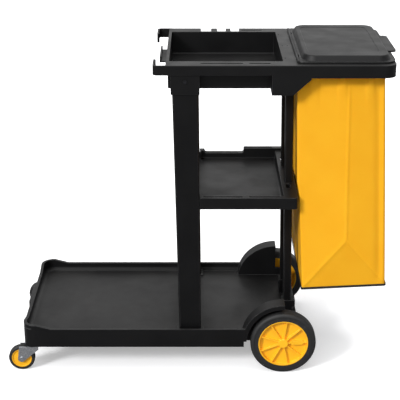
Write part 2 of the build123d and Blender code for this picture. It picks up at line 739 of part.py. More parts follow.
def shelf_body():
    """The shelf's outer form, notched around the front uprights, with its raised right rim."""
    side_front = shelf_side_front()
    z = (SHELF_LOW, SHELF_TOP)
    wide = block((side_front, SHELF_REAR), (-SHELF_HALF, SHELF_HALF), z)
    wide = fillet(upright_edges(wide, Axis.X, -1), SHELF_CORNER_R)
    narrow = block((shelf_front(), shelf_tray_rear()), (-SHELF_SIDE_Y, SHELF_SIDE_Y), z)
    raised_y = (SHELF_INNER_HALF, SHELF_HALF)
    raised = block((SHELF_REAR - SHELF_RAISED, SHELF_REAR), raised_y, (SHELF_LOW, SHELF_TOP + SHELF_RAISE))
    raised = fillet(raised.edges().filter_by(Axis.Y).group_by(Axis.Z)[-1], SHELF_RAISE / 2)
    return Part() + [wide, narrow, raised]


def shelf_tray():
    """The open tray inside the shelf's rim."""
    narrow_half = SHELF_SIDE_Y - SHELF_WALL
    side_front = shelf_side_front() + SHELF_WALL
    z = (SHELF_FLOOR, SHELF_TOP + SHELF_RAISE + CUT_OVER)
    wide = block((side_front, shelf_tray_rear()), (-SHELF_INNER_HALF, SHELF_INNER_HALF), z)
    narrow = block((shelf_front() + SHELF_WALL, shelf_tray_rear()), (-narrow_half, narrow_half), z)
    tray = wide + narrow
    return fillet(tray.faces().sort_by(Axis.Z)[0].edges(), SHELF_COVE_R)


def shelf_underside():
    """The hollows below the floor and inside the side and rear rims."""
    low = SHELF_LOW - CUT_OVER
    floor_low = SHELF_FLOOR - SHELF_FLOOR_THICK
    inner = SHELF_SIDE_Y - SHELF_WALL
    below = block((shelf_front() + SHELF_WALL, shelf_tray_rear()), (-inner, inner), (low, floor_low))
    rim_y = (-(SHELF_HALF - SHELF_WALL), -(SHELF_INNER_HALF + SHELF_WALL))
    rim_z = (low, SHELF_TOP - SHELF_PLATE)
    rear = SHELF_REAR - SHELF_CORNER_R - SHELF_WALL
    side = block((shelf_side_front() + SHELF_WALL, rear), rim_y, rim_z)
    strip_x = (shelf_tray_rear() + SHELF_WALL, SHELF_REAR - SHELF_WALL)
    strip_y = (-(SHELF_HALF - SHELF_CORNER_R), -(POST_Y[1] + SLEEVE_WALL))
    strip = block(strip_x, strip_y, rim_z)
    middle = block(strip_x, (-(POST_Y[0] - SLEEVE_WALL), 0), rim_z)
    return below + both(Part() + [side, strip, middle])


def shelf_dip_x():
    """The ends of the right rim's dip."""
    rear = SHELF_REAR - SHELF_RAISED
    return (rear - SHELF_DIP_LONG, rear)


def shelf_dip_lining():
    """The right rim's plate and end walls around the dip."""
    low = SHELF_TOP - SHELF_DIP - SHELF_PLATE
    ends = shelf_dip_x()
    x = (ends[0] - SHELF_WALL, ends[1] + SHELF_WALL)
    return block(x, (SHELF_INNER_HALF, SHELF_HALF), (low, SHELF_TOP))


def shelf_dip():
    """The low, round-cornered part of the right rim."""
    z = (SHELF_TOP - SHELF_DIP, SHELF_TOP + SHELF_RAISE + CUT_OVER)
    dip = block(shelf_dip_x(), (SHELF_INNER_HALF - CUT_OVER, SHELF_HALF + CUT_OVER), z)
    return fillet(dip.edges().filter_by(Axis.Y).group_by(Axis.Z)[0], SHELF_DIP_R)


def shelf_slots():
    """The holder slots in the side rims and the strip behind the tray."""
    through = (LOW, HIGH)
    spans = [ahead(SHELF_REAR, ends) for ends in SHELF_SLOTS]
    sides = [slot(x, -SHELF_SLOT_Y, through, SHELF_SLOT_WIDTH) for x in spans]
    half = STRIP_SLOT_WIDTH / 2
    strip_y = (-STRIP_SLOTS_Y[1], -STRIP_SLOTS_Y[0])
    middle = SHELF_REAR - STRIP_SLOT_BACK
    strip = block((middle - half, middle + half), strip_y, through)
    strip = fillet(strip.edges().filter_by(Axis.Z), STRIP_SLOT_R)
    return both(Part() + [*sides, strip])


def middle_shelf():
    """The shelf between the uprights, with sleeves for the rear posts."""
    shelf = shelf_body() - shelf_tray() - shelf_underside()
    shelf = shelf + shelf_dip_lining() - shelf_dip() - shelf_slots()
    sleeve = both(post_prism((SHELF_LOW - CUT_OVER, HIGH), SEAT_GAP))
    return shelf - sleeve - both(upright_screw_holes())


# ---- top tray ----


def tray_shell():
    """The tray's top plate and skirt."""
    outer = block((TRAY_FRONT, TRAY_REAR), (-TRAY_HALF, TRAY_HALF), (SKIRT_Z, TRAY_TOP))
    outer = fillet(upright_edges(outer, Axis.X, -1), TRAY_REAR_R)
    outer = fillet(upright_edges(outer, Axis.X, 0), TRAY_FRONT_R)
    outer = fillet(outer.faces().sort_by(Axis.Z)[-1].edges(), TRAY_EDGE_R)
    inner_half = TRAY_HALF - TRAY_WALL
    inner_x = (TRAY_FRONT + TRAY_WALL, TRAY_REAR - TRAY_WALL)
    inner = block(inner_x, (-inner_half, inner_half), (SKIRT_Z - CUT_OVER, PLATE_LOW))
    return outer - fillet(upright_edges(inner, Axis.X, -1), TRAY_REAR_R - TRAY_WALL)


def tray_beam():
    """The hollow cross beam below the strip between the bin and the bag ring."""
    beam = block(BEAM_X, (-TRAY_HALF, TRAY_HALF), (BEAM_LOW, PLATE_LOW))
    hollow_x = (BEAM_X[0] + TRAY_WALL, BEAM_X[1] - TRAY_WALL)
    hollow_half = TRAY_HALF - TRAY_WALL
    beam -= block(hollow_x, (-hollow_half, hollow_half), (BEAM_LOW - CUT_OVER, PLATE_LOW))
    head = block(HEAD_BLOCK_X, (-HEAD_BLOCK_HALF, HEAD_BLOCK_HALF), (BEAM_LOW, PLATE_LOW))
    rear = BEAM_X[1] - TRAY_WALL
    end, end_z = BEAM_X[1] + GUSSET_RUN, TRAY_TOP - GUSSET_DROP
    points = [(rear, BEAM_LOW), (BEAM_X[1], BEAM_LOW), (end, end_z), (end, PLATE_LOW), (rear, PLATE_LOW)]
    gusset = side_plate(points, (-TRAY_HALF, TRAY_WALL - TRAY_HALF))
    return Part() + [beam, head, both(gusset)]


def tray_bin(grow):
    """The bin's box, grown by the wall or not at all."""
    floor = TRAY_TOP - BIN_DEPTH - (BIN_FLOOR if grow else 0)
    x = (BIN_X[0] - grow, BIN_X[1] + grow)
    top = PLATE_LOW if grow else HIGH
    box = block(x, (-BIN_HALF - grow, BIN_HALF + grow), (floor, top))
    box = fillet(box.edges().filter_by(Axis.Z), BIN_CORNER_R + grow)
    return box if grow else fillet(box.faces().sort_by(Axis.Z)[0].edges(), BIN_FLOOR_R)


def ring_opening(grow, z):
    """The opening that the bag hangs in, with round corners."""
    x = (RING_X[0] - grow, RING_X[1] + grow)
    box = block(x, (-RING_HALF - grow, RING_HALF + grow), z)
    return fillet(box.edges().filter_by(Axis.Z), RING_CORNER_R + grow)


def corner_hook():
    """The left front hook, which holds a mop or broom handle."""
    z = (SKIRT_Z, TRAY_TOP)
    tip_x, tip_y = TRAY_FRONT - HOOK_REACH, TRAY_HALF - HOOK_TONGUE
    outer = block((tip_x, TRAY_FRONT + 2 * TRAY_WALL), (-TRAY_HALF, -tip_y), z)
    outer = fillet(outer.edges().filter_by(Axis.Z).group_by(Axis.X)[0].sort_by(Axis.Y)[0], HOOK_R)
    gap_x = (tip_x + HOOK_THICK, TRAY_FRONT + 2 * TRAY_WALL + CUT_OVER)
    gap = block(gap_x, (-TRAY_HALF + HOOK_THICK, 0), (LOW, HIGH))
    gap = fillet(gap.edges().filter_by(Axis.Z).group_by(Axis.X)[0].sort_by(Axis.Y)[0], HOOK_R - HOOK_THICK)
    tip = post(HOOK_TONGUE_R, tip_x + HOOK_TONGUE_R, -tip_y, z)
    return (outer - gap) + tip


def middle_lug():
    """The lipped ledge in the middle of the tray's front end."""
    front, rear = TRAY_FRONT - LUG_REACH, TRAY_FRONT + TRAY_WALL
    span = (-LUG_HALF, LUG_HALF)
    plate = block((front, rear), span, (SKIRT_Z - TRAY_WALL, SKIRT_Z))
    plate = chamfer(plate.edges().filter_by(Axis.X).group_by(Axis.Z)[0], LUG_EDGE)
    lip = block((front, front + TRAY_WALL), span, (SKIRT_Z, SKIRT_Z + LUG_LIP))
    lip = fillet(lip.edges().filter_by(Axis.X).group_by(Axis.Z)[-1], TRAY_WALL)
    return plate + lip


def collar():
    """The sleeve over the left upright's top."""
    return upright_prism((TRAY_TOP - COLLAR_DEPTH, PLATE_LOW), SEAT_GAP + COLLAR_WALL)


def side_peg_places():
    """The x of each peg along a side of the bag."""
    first, last = BAG_TOP_X[0] + SIDE_PEG_MARGIN, BAG_TOP_X[1] - SIDE_PEG_MARGIN
    pitch = (last - first) / (SIDE_PEGS - 1)
    return [first + pitch * number for number in range(SIDE_PEGS)]


def pegs():
    """The headed pegs that the bag's eyelets hang on, all round the ring."""
    shapes = []
    side_y = (-(TRAY_HALF - TRAY_WALL), -(BAG_HALF - PEG_REACH))
    for x in side_peg_places():
        shaft = disc(PEG_R, side_y, x, PEG_Z)
        head = disc(PEG_HEAD_R, (side_y[1], side_y[1] + PEG_HEAD), x, PEG_Z)
        shapes.append(both(shaft + head))
    front_x = (BEAM_X[1] - MERGE, BAG_TOP_X[0] + PEG_REACH)
    rear_x = (BAG_TOP_X[1] - PEG_REACH, TRAY_REAR - TRAY_WALL)
    front = rod(PEG_R, front_x, -END_PEGS_Y, PEG_Z)
    front += rod(PEG_HEAD_R, (front_x[1], front_x[1] + PEG_HEAD), -END_PEGS_Y, PEG_Z)
    rear = rod(PEG_R, rear_x, -END_PEGS_Y, PEG_Z)
    rear += rod(PEG_HEAD_R, (rear_x[0] - PEG_HEAD, rear_x[0]), -END_PEGS_Y, PEG_Z)
    return Part() + [*shapes, both(front + rear)]


def knuckle():
    """The left hinge knuckle on the strip in front of the lid."""
    span = (-KNUCKLE_Y[1] + SEAT_GAP, -KNUCKLE_Y[0] - SEAT_GAP)
    barrel = disc(BARREL_R, span, HINGE_X, HINGE_Z)
    foot = block((HINGE_X - BARREL_R, HINGE_X + BARREL_R), span, (PLATE_LOW, HINGE_Z))
    return barrel + foot


def right_notch():
    """The open comb in the right rim, which leaves two stubs standing."""
    inner = TRAY_HALF - NOTCH_DEPTH
    notch = block(ahead(HINGE_X, NOTCH), (inner, TRAY_HALF + CUT_OVER), (LOW, HIGH))
    for stub in STUBS:
        stub_y = (inner - CUT_OVER, TRAY_HALF - STUB_INSET)
        notch -= block(ahead(HINGE_X, stub), stub_y, (LOW - CUT_OVER, HIGH + CUT_OVER))
    return notch


def tray_cuts():
    """Slots, small holes and the comb in the tray's rims."""
    through = (PLATE_LOW - CUT_OVER, HIGH)
    left = [slot(ahead(HINGE_X, ends), -SLOT_Y, through, SLOT_WIDTH) for ends in LEFT_SLOTS]
    right_slot = slot(ahead(HINGE_X, RIGHT_SLOT), SLOT_Y, through, SLOT_WIDTH)
    holes = [post(HOLE_R, x, y, through) for x, y in HOLES_AT]
    return Part() + [*left, right_slot, *holes, right_notch()]


def top_tray():
    """Bin, rims, hooks and bag ring, moulded in one piece."""
    tray = tray_shell() + tray_beam()
    tray += both(collar())
    tray += tray_bin(BIN_WALL)
    tray += ring_opening(RING_LIP_WALL, (PLATE_LOW - RING_LIP, PLATE_LOW))
    tray += both(corner_hook())
    tray += middle_lug()
    tray += pegs()
    tray += both(knuckle())
    tray -= tray_bin(0)
    tray -= ring_opening(0, (PLATE_LOW - RING_LIP - CUT_OVER, HIGH))
    tray -= tray_cuts()
    cuts = [
        upright_prism((TRAY_TOP - COLLAR_DEPTH - CUT_OVER, UPRIGHT_TOP_Z), SEAT_GAP),
        post_prism((BEAM_LOW - CUT_OVER, POST_TOP_Z), SEAT_GAP),
        upright_screw_holes(),
        post_screw_holes(),
        disc(PIN_R + RUN_GAP, (-KNUCKLE_Y[1], -KNUCKLE_Y[0]), HINGE_X, HINGE_Z),
    ]
    return tray - both(Part() + cuts)


# ---- lid ----


def lid_flange():
    """The lid's thin border with its pull tab."""
    z = (LID_LOW, LID_FLANGE_TOP)
    plate = block((HINGE_X, LID_REAR), (-LID_HALF, LID_HALF), z)
    plate = fillet(upright_edges(plate, Axis.X, -1), LID_REAR_R)
    plate = fillet(upright_edges(plate, Axis.X, 0), LID_FRONT_R)
    tab_z = (LID_FLANGE_TOP - TAB_THICK + TAB_LIP, LID_FLANGE_TOP + TAB_LIP)
    tab = block((DOME_X[1] - TAB_THICK, TAB_TIP), (-TAB_HALF, TAB_HALF), tab_z)
    tab = fillet(upright_edges(tab, Axis.X, -1), TAB_R)
    return plate + tab


def dome(grow, low, high):
    """The lid's raised middle, drawn in by the shell's thickness when grow is negative."""
    width = DOME_X[1] - DOME_X[0] + 2 * grow
    plan = Pos(sum(DOME_X) / 2, 0, low) * RectangleRounded(width, 2 * (DOME_HALF + grow), DOME_R + grow)
    return extrude(plan, amount=high - low, taper=DOME_TAPER)


def lid():
    """The lid: border, raised middle, sunk panel and hinge barrel."""
    raised = dome(0, LID_FLANGE_TOP, DOME_TOP)
    raised = fillet(raised.faces().sort_by(Axis.Z)[-1].edges(), DOME_EDGE_R)
    panel = block(PANEL_X, (-PANEL_HALF, PANEL_HALF), (DOME_TOP - PANEL_DEPTH, HIGH))
    raised -= fillet(panel.edges().filter_by(Axis.Z), PANEL_R)
    cover = lid_flange() + raised
    cover += disc(BARREL_R, (-BARREL_HALF, BARREL_HALF), HINGE_X, HINGE_Z)
    cover -= dome(-LID_SHELL, LID_LOW - CUT_OVER, DOME_TOP - PANEL_DEPTH - LID_SHELL)
    notch_x = (HINGE_X - 2 * BARREL_R, HINGE_X + BARREL_R + KNUCKLE_CLEAR)
    notch = block(notch_x, (-KNUCKLE_Y[1], -KNUCKLE_Y[0]), (LOW, HIGH))
    bore = disc(PIN_R + RUN_GAP, (-PIN_Y[1] - CUT_OVER, -PIN_Y[0] + CUT_OVER), HINGE_X, HINGE_Z)
    return cover - both(notch + bore)


def hinge_pin():
    """The left hinge pin."""
    return disc(PIN_R, (-PIN_Y[1], -PIN_Y[0]), HINGE_X, HINGE_Z)


# ---- bag ----


def bag_corners(inset=0.0):
    """The bag's side outline: it leans back from the ring and its bottom tilts up."""
    (front, rear), neck, belly = BAG_TOP_X, BAG_NECK, BAG_BELLY
    foot_front = (front + BAG_FRONT_RUN + inset, TRAY_TOP - BAG_FRONT_DEPTH + inset)
    foot_rear = (rear + BAG_REAR_RUN - inset, TRAY_TOP - BAG_REAR_DEPTH + inset)
    top = BAG_TOP_Z + inset
    return [
        (front + inset, top),
        (front + inset, BAG_TOP_Z - BAG_HEM),
        (front + neck[1] + inset, TRAY_TOP - neck[0]),
        (SHELF_REAR + belly[1] + inset, SHELF_TOP + belly[0]),
        foot_front,
        foot_rear,
        (rear - inset, BAG_TOP_Z - BAG_HEM),
        (rear - inset, top),
    ]


def eyelet_places():
    """Each eyelet's centre and the axis that it faces, for the left half."""
    drop = EYELET_R - PEG_R - SEAT_GAP
    z = PEG_Z - drop
    sides = [(x, -BAG_HALF + BAG_WALL / 2, z, "y") for x in side_peg_places()]
    front_x = BAG_TOP_X[0] + BAG_WALL / 2
    rear_x = BAG_TOP_X[1] - BAG_WALL / 2
    return [*sides, (front_x, -END_PEGS_Y, z, "x"), (rear_x, -END_PEGS_Y, z, "x")]


def eyelet_disc(place, radius, half):
    """A disc centred in the bag's wall at an eyelet."""
    x, y, z, axis = place
    if axis == "y":
        return disc(radius, (y - half, y + half), x, z)
    return rod(radius, (x - half, x + half), y, z)


def bag():
    """The waste bag, open at the top, with a hole for each eyelet."""
    shell = side_plate(bag_corners(), (-BAG_HALF, BAG_HALF))
    inner = BAG_HALF - BAG_WALL
    shell -= side_plate(bag_corners(BAG_WALL), (-inner, inner))
    hole = EYELET_R + EYELET_WALL + RUN_GAP
    holes = [eyelet_disc(place, hole, BAG_WALL) for place in eyelet_places()]
    return shell - both(Part() + holes)


def eyelets():
    """The left half's eyelets: a barrel through the bag's wall and a flange on each face."""
    rings = []
    for place in eyelet_places():
        half = BAG_WALL / 2 + SEAT_GAP
        barrel = eyelet_disc(place, EYELET_R + EYELET_WALL, half)
        face = half + EYELET_WALL
        flanges = eyelet_disc(place, EYELET_FLANGE_R, face) - eyelet_disc(place, HIGH, half)
        rings.append((barrel + flanges) - eyelet_disc(place, EYELET_R, face + CUT_OVER))
    return Part() + rings


def bag_board():
    """The dark stiffening board below the bag."""
    (x_a, z_a), (x_b, z_b) = bag_corners()[4:6]
    points = [(x_a, z_a), (x_b, z_b), (x_b, z_b - BOARD_THICK), (x_a, z_a - BOARD_THICK)]
    return side_plate(points, (-BAG_HALF, BAG_HALF))


# ---- rear wheels ----


def rear_tyre():
    """The left rear tyre, with round shoulders and a shallow groove in its outer wall."""
    span = (-WHEEL_FACE, -WHEEL_BACK)
    tyre = disc(WHEEL_R, span, AXLE_X, AXLE_Z)
    tyre = fillet(tyre.edges().filter_by(GeomType.CIRCLE), TYRE_SHOULDER)
    tyre -= disc(RIM_R + RUN_GAP, past(span), AXLE_X, AXLE_Z)
    mid = (RIM_R + WHEEL_R) / 2
    groove_y = (-WHEEL_FACE - GROOVE, -WHEEL_FACE + GROOVE)
    groove = disc(mid + GROOVE, groove_y, AXLE_X, AXLE_Z)
    groove -= disc(mid - GROOVE, groove_y, AXLE_X, AXLE_Z)
    return tyre - groove


def rim_spoke(angle, width, inner, outer, y):
    """A straight bar on the wheel's face at an angle from +X."""
    bar = block((inner, outer), y, (-width / 2, width / 2))
    return Pos(AXLE_X, 0, AXLE_Z) * Rot(0, -angle, 0) * bar


def rear_rim():
    """The left rear rim: barrel, web, ribs and hub."""
    face, back = -WHEEL_FACE + FACE_STEP, -WHEEL_BACK - FACE_STEP
    rim = disc(RIM_R, (face, back), AXLE_X, AXLE_Z)
    rim = chamfer(rim.edges().filter_by(GeomType.CIRCLE), FACE_STEP)
    web = (face + WEB_INSET, face + WEB_INSET + WEB_THICK)
    bowl_r = RIM_R - BARREL_WALL
    rim -= disc(bowl_r, (face - CUT_OVER, web[0]), AXLE_X, AXLE_Z)
    rim -= disc(bowl_r, (web[1], back + CUT_OVER), AXLE_X, AXLE_Z)
    rim += disc(HUB_R, (face + FACE_STEP, -WHEEL_BACK), AXLE_X, AXLE_Z)
    rib_y = (face + RIB_INSET, web[0] + MERGE)
    for number in range(RIB_COUNT):
        angle = RIB_FIRST + 360 / RIB_COUNT * number
        rim += rim_spoke(angle, RIB_THICK, HUB_R - MERGE, bowl_r + MERGE, rib_y)
    lug = rim_spoke(RIB_FIRST, LUG_WIDTH, LUG_INNER, LUG_OUTER, rib_y)
    rim += fillet(lug.edges().filter_by(Axis.Y), LUG_EDGE_R)
    pocket = disc(HUB_CAP_R, (face - CUT_OVER, face + HUB_POCKET), AXLE_X, AXLE_Z)
    bore_r = AXLE_R + BUSH_WALL + RUN_GAP
    return rim - pocket - disc(bore_r, (face, -WHEEL_BACK + CUT_OVER), AXLE_X, AXLE_Z)


def rear_bush():
    """The left rear wheel's plain bearing."""
    span = (-WHEEL_FACE + FACE_STEP + HUB_POCKET, -WHEEL_BACK)
    bush = disc(AXLE_R + BUSH_WALL, span, AXLE_X, AXLE_Z)
    return bush - disc(AXLE_R + RUN_GAP, past(span), AXLE_X, AXLE_Z)


def rear_hub_cap():
    """The small cap that closes the left hub's pocket."""
    face = -WHEEL_FACE + 2 * FACE_STEP
    plug = disc(HUB_CAP_R - RUN_GAP, (face, face + HUB_CAP_THICK), AXLE_X, AXLE_Z)
    cover = disc(HUB_R - FACE_STEP, (face - HUB_CAP_RISE, face), AXLE_X, AXLE_Z)
    cover = fillet(cover.edges().filter_by(GeomType.CIRCLE).sort_by(Axis.Y)[0], HUB_CAP_EDGE_R)
    return plug + cover


def rear_axle():
    """The steel rod that carries both rear wheels."""
    return disc(AXLE_R, (-AXLE_END, AXLE_END), AXLE_X, AXLE_Z)


def push_nut():
    """The ring that holds the left wheel on the axle."""
    low = -WHEEL_FACE + FACE_STEP + HUB_POCKET - SEAT_GAP - PUSH_NUT_THICK
    span = (low, low + PUSH_NUT_THICK)
    ring = disc(PUSH_NUT_R, span, AXLE_X, AXLE_Z)
    return ring - disc(AXLE_R + RUN_GAP, past(span), AXLE_X, AXLE_Z)


def axle_spacer():
    """The ring between the left wheel and the deck."""
    span = (-WHEEL_BACK + SEAT_GAP, -ARCH_SIDE - SEAT_GAP)
    ring = disc(AXLE_R + SPACER_WALL, span, AXLE_X, AXLE_Z)
    return ring - disc(AXLE_R + RUN_GAP, past(span), AXLE_X, AXLE_Z)


# ---- front casters ----


def caster_stem():
    """The left caster's fixed stem with its flange and riveted lower end."""
    stem = post(STEM_R, STEM_X, -STEM_Y, (CROWN_LOW - SEAT_GAP, STEM_TOP))
    stem += post(STEM_FLANGE_R, STEM_X, -STEM_Y, (BOSS_LOW - STEM_FLANGE, BOSS_LOW))
    head = (CROWN_LOW - SEAT_GAP - STEM_HEAD, CROWN_LOW - SEAT_GAP)
    return stem + post(STEM_HEAD_R, STEM_X, -STEM_Y, head)


def fork_cheek(y):
    """One side of the fork, narrowing from the crown to the axle."""
    eye = BOLT_R + EYE_WALL
    points = [
        (CASTER_X - eye / 2, CROWN_TOP),
        (STEM_X + CROWN_HALF, CROWN_TOP),
        (STEM_X + CROWN_HALF, CROWN_LOW - EYE_WALL),
        (CASTER_X + FORK_WAIST * eye, CASTER_R - FORK_WAIST * eye),
        (CASTER_X - eye, CASTER_R),
    ]
    return side_plate(points, y) + disc(eye, y, CASTER_X, CASTER_R)


def caster_fork():
    """The left caster's swivelling fork."""
    crown_x = (STEM_X - CROWN_HALF, STEM_X + CROWN_HALF)
    fork = block(crown_x, FORK_Y, (CROWN_LOW, CROWN_TOP))
    fork += fork_cheek((FORK_Y[0], FORK_Y[0] + CHEEK_THICK))
    fork += fork_cheek((FORK_Y[1] - CHEEK_THICK, FORK_Y[1]))
    fork -= post(STEM_R + RUN_GAP, STEM_X, -STEM_Y, (LOW, CROWN_TOP + CUT_OVER))
    return fork - disc(BOLT_R + RUN_GAP, past(FORK_Y), CASTER_X, CASTER_R)


def hexagon(y, radius):
    """A hexagonal bar along Y on the caster's axle."""
    plan = Pos(CASTER_X, y[0], CASTER_R) * Rot(90, 0, 0) * RegularPolygon(radius, 6)
    return extrude(plan, amount=y[1] - y[0], dir=(0, 1, 0))


def caster_bolt():
    """The left caster's axle bolt."""
    shank = disc(BOLT_R, (FORK_Y[0], FORK_Y[1] + BOLT_HEAD), CASTER_X, CASTER_R)
    return shank + hexagon((FORK_Y[0] - BOLT_HEAD, FORK_Y[0]), BOLT_HEAD_R)


def caster_nut():
    """The nut on the left caster's axle bolt."""
    span = (FORK_Y[1], FORK_Y[1] + BOLT_HEAD)
    nut = hexagon(span, BOLT_HEAD_R)
    return nut - disc(BOLT_R + RUN_GAP, past(span), CASTER_X, CASTER_R)


def caster_rim():
    """The left caster's wheel centre."""
    rim = disc(CASTER_RIM_R, (WHEEL_Y[0] + FACE_STEP, WHEEL_Y[1] - FACE_STEP), CASTER_X, CASTER_R)
    bowl = CASTER_RIM_R - CASTER_BARREL_WALL
    rim -= disc(bowl, (WHEEL_Y[0], WHEEL_Y[0] + CASTER_BOWL), CASTER_X, CASTER_R)
    rim -= disc(bowl, (WHEEL_Y[1] - CASTER_BOWL, WHEEL_Y[1]), CASTER_X, CASTER_R)
    rim += disc(CASTER_HUB_R, WHEEL_Y, CASTER_X, CASTER_R)
    bore = BOLT_R + CASTER_BUSH_WALL + RUN_GAP
    return rim - disc(bore, past(WHEEL_Y), CASTER_X, CASTER_R)


def caster_tyre():
    """The left caster's tyre."""
    tyre = disc(CASTER_R, WHEEL_Y, CASTER_X, CASTER_R)
    tyre = fillet(tyre.edges().filter_by(GeomType.CIRCLE), CASTER_TREAD / 2)
    return tyre - disc(CASTER_RIM_R + RUN_GAP, past(WHEEL_Y), CASTER_X, CASTER_R)


def caster_bush():
    """The left caster wheel's plain bearing."""
    span = (FORK_Y[0] + CHEEK_THICK + SEAT_GAP, FORK_Y[1] - CHEEK_THICK - SEAT_GAP)
    bush = disc(BOLT_R + CASTER_BUSH_WALL, span, CASTER_X, CASTER_R)
    return bush - disc(BOLT_R + RUN_GAP, past(span), CASTER_X, CASTER_R)


PAIRS = {
    "front_upright": front_upright,
    "rear_post": rear_post,
    "rear_rim": rear_rim,
    "rear_tyre": rear_tyre,
    "rear_bush": rear_bush,
    "rear_hub_cap": rear_hub_cap,
    "caster_stem": caster_stem,
    "caster_fork": caster_fork,
    "caster_bolt": caster_bolt,
    "caster_nut": caster_nut,
    "caster_rim": caster_rim,
    "caster_tyre": caster_tyre,
    "caster_bush": caster_bush,
}
GROUPS = {
    "upright_screws": all_upright_screws,
    "post_screws": all_post_screws,
    "push_nuts": push_nut,
    "axle_spacers": axle_spacer,
    "bag_eyelets": eyelets,
    "hinge_pins": hinge_pin,
}
SINGLES = {
    "base_platform": base_platform,
    "middle_shelf": middle_shelf,
    "top_tray": top_tray,
    "lid": lid,
    "bag": bag,
    "bag_board": bag_board,
    "rear_axle": rear_axle,
}

os.makedirs("parts", exist_ok=True)
for name, make in SINGLES.items():
    export_step(make(), f"parts/{name}.step")
for name, make in GROUPS.items():
    export_step(both(make()), f"parts/{name}.step")
for name, make in PAIRS.items():
    left = make()
    export_step(left, f"parts/{name}_left.step")
    export_step(right(left), f"parts/{name}_right.step")
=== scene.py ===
"""Housekeeping cart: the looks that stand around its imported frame."""

import logging
import math
from dataclasses import dataclass
from enum import Enum
from typing import Callable, Sequence

import bpy
import numpy as np
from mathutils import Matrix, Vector


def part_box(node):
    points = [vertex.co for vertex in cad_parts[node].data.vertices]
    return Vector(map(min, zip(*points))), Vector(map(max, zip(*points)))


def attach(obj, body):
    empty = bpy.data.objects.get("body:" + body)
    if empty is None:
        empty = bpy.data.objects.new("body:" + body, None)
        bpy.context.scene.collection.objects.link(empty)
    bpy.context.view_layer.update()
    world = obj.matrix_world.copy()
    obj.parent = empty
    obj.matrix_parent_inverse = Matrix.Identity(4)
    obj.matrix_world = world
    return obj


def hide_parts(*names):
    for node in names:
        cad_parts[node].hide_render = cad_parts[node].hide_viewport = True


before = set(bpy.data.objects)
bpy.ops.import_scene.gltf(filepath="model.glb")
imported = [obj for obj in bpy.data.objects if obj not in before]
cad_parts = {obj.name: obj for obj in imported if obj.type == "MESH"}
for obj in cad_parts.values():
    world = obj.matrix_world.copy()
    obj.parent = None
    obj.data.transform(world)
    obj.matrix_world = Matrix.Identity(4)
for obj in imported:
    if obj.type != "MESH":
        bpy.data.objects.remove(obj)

LOG = logging.getLogger("housekeeping_cart")
MM = 0.001
SIDES = ("left", "right")
CLOTH_MAP = "BagCloth"
CLOTH_ANGLE = 50.0
TRIM_ANGLE = 40.0
WHITE = (1.0, 1.0, 1.0)
TINY = 1e-4
# The Mix node's colour inputs and output come after those for numbers and vectors.
MIX_FIRST, MIX_SECOND, MIX_RESULT = 6, 7, 2

Colour = tuple[float, float, float]
Span = tuple[float, float]
Socket = bpy.types.NodeSocket


class Body(Enum):
    """The bodies that new pieces ride on."""

    CART = "cart"
    LID = "lid"
    WHEEL_LEFT = "rear_wheel_left"
    WHEEL_RIGHT = "rear_wheel_right"
    CASTER_LEFT = "caster_wheel_left"
    CASTER_RIGHT = "caster_wheel_right"


class Element(Enum):
    """What an edit selects, as Blender's select mode for it."""

    VERTEX = (True, False, False)
    FACE = (False, False, True)


# ---- working on meshes ----


def activate(piece: bpy.types.Object) -> None:
    """Deselects everything, then selects one piece and makes it active.

    Args:
        piece: The object to work on.
    """
    for other in bpy.context.selected_objects:
        other.select_set(False)
    piece.select_set(True)
    bpy.context.view_layer.objects.active = piece


def select_in(piece: bpy.types.Object, element: Element, test: Callable[[Vector, Vector], bool]) -> None:
    """Selects the faces or vertices of a piece that pass a test, and opens edit mode.

    Args:
        piece: The object whose mesh is edited.
        element: Vertices or faces.
        test: Called with each element's centre and normal.
    """
    activate(piece)
    mesh = piece.data
    for group in (mesh.vertices, mesh.edges, mesh.polygons):
        group.foreach_set("select", [False] * len(group))
    if element is Element.FACE:
        flags = [test(face.center, face.normal) for face in mesh.polygons]
        mesh.polygons.foreach_set("select", flags)
    else:
        flags = [test(vertex.co, vertex.normal) for vertex in mesh.vertices]
        mesh.vertices.foreach_set("select", flags)
    bpy.context.tool_settings.mesh_select_mode = element.value
    bpy.ops.object.mode_set(mode="EDIT")


def close_edit() -> None:
    """Leaves edit mode."""
    bpy.ops.object.mode_set(mode="OBJECT")


def apply_modifier(piece: bpy.types.Object, kind: str, **settings: object) -> None:
    """Adds a modifier and applies it.

    Args:
        piece: The object that takes it.
        kind: Blender's name for the modifier's type.
        **settings: The modifier's own values.
    """
    activate(piece)
    modifier = piece.modifiers.new(kind.title(), kind)
    for name, value in settings.items():
        setattr(modifier, name, value)
    bpy.ops.object.modifier_apply(modifier=modifier.name)


def smooth(piece: bpy.types.Object, degrees: float) -> None:
    """Shades a piece smooth, apart from the edges that turn by more than an angle."""
    activate(piece)
    bpy.ops.object.shade_smooth_by_angle(angle=math.radians(degrees))


def settle(piece: bpy.types.Object) -> None:
    """Puts a piece's place into its mesh, so that its object is at the origin."""
    activate(piece)
    bpy.ops.object.transform_apply(location=True, rotation=True, scale=True)


def dress(piece: bpy.types.Object, material: bpy.types.Material) -> None:
    """Gives a piece one material all over.

    Args:
        piece: A new piece or a CAD node.
        material: The finish.
    """
    if not piece.material_slots:
        piece.data.materials.append(material)
    for slot in piece.material_slots:
        slot.material = material


def join(pieces: Sequence[bpy.types.Object], name: str) -> bpy.types.Object:
    """Joins pieces into one.

    Args:
        pieces: The objects to join.
        name: The new piece's name.

    Returns:
        The joined piece.
    """
    activate(pieces[0])
    for piece in pieces[1:]:
        piece.select_set(True)
    bpy.ops.object.join()
    pieces[0].name = name
    return pieces[0]


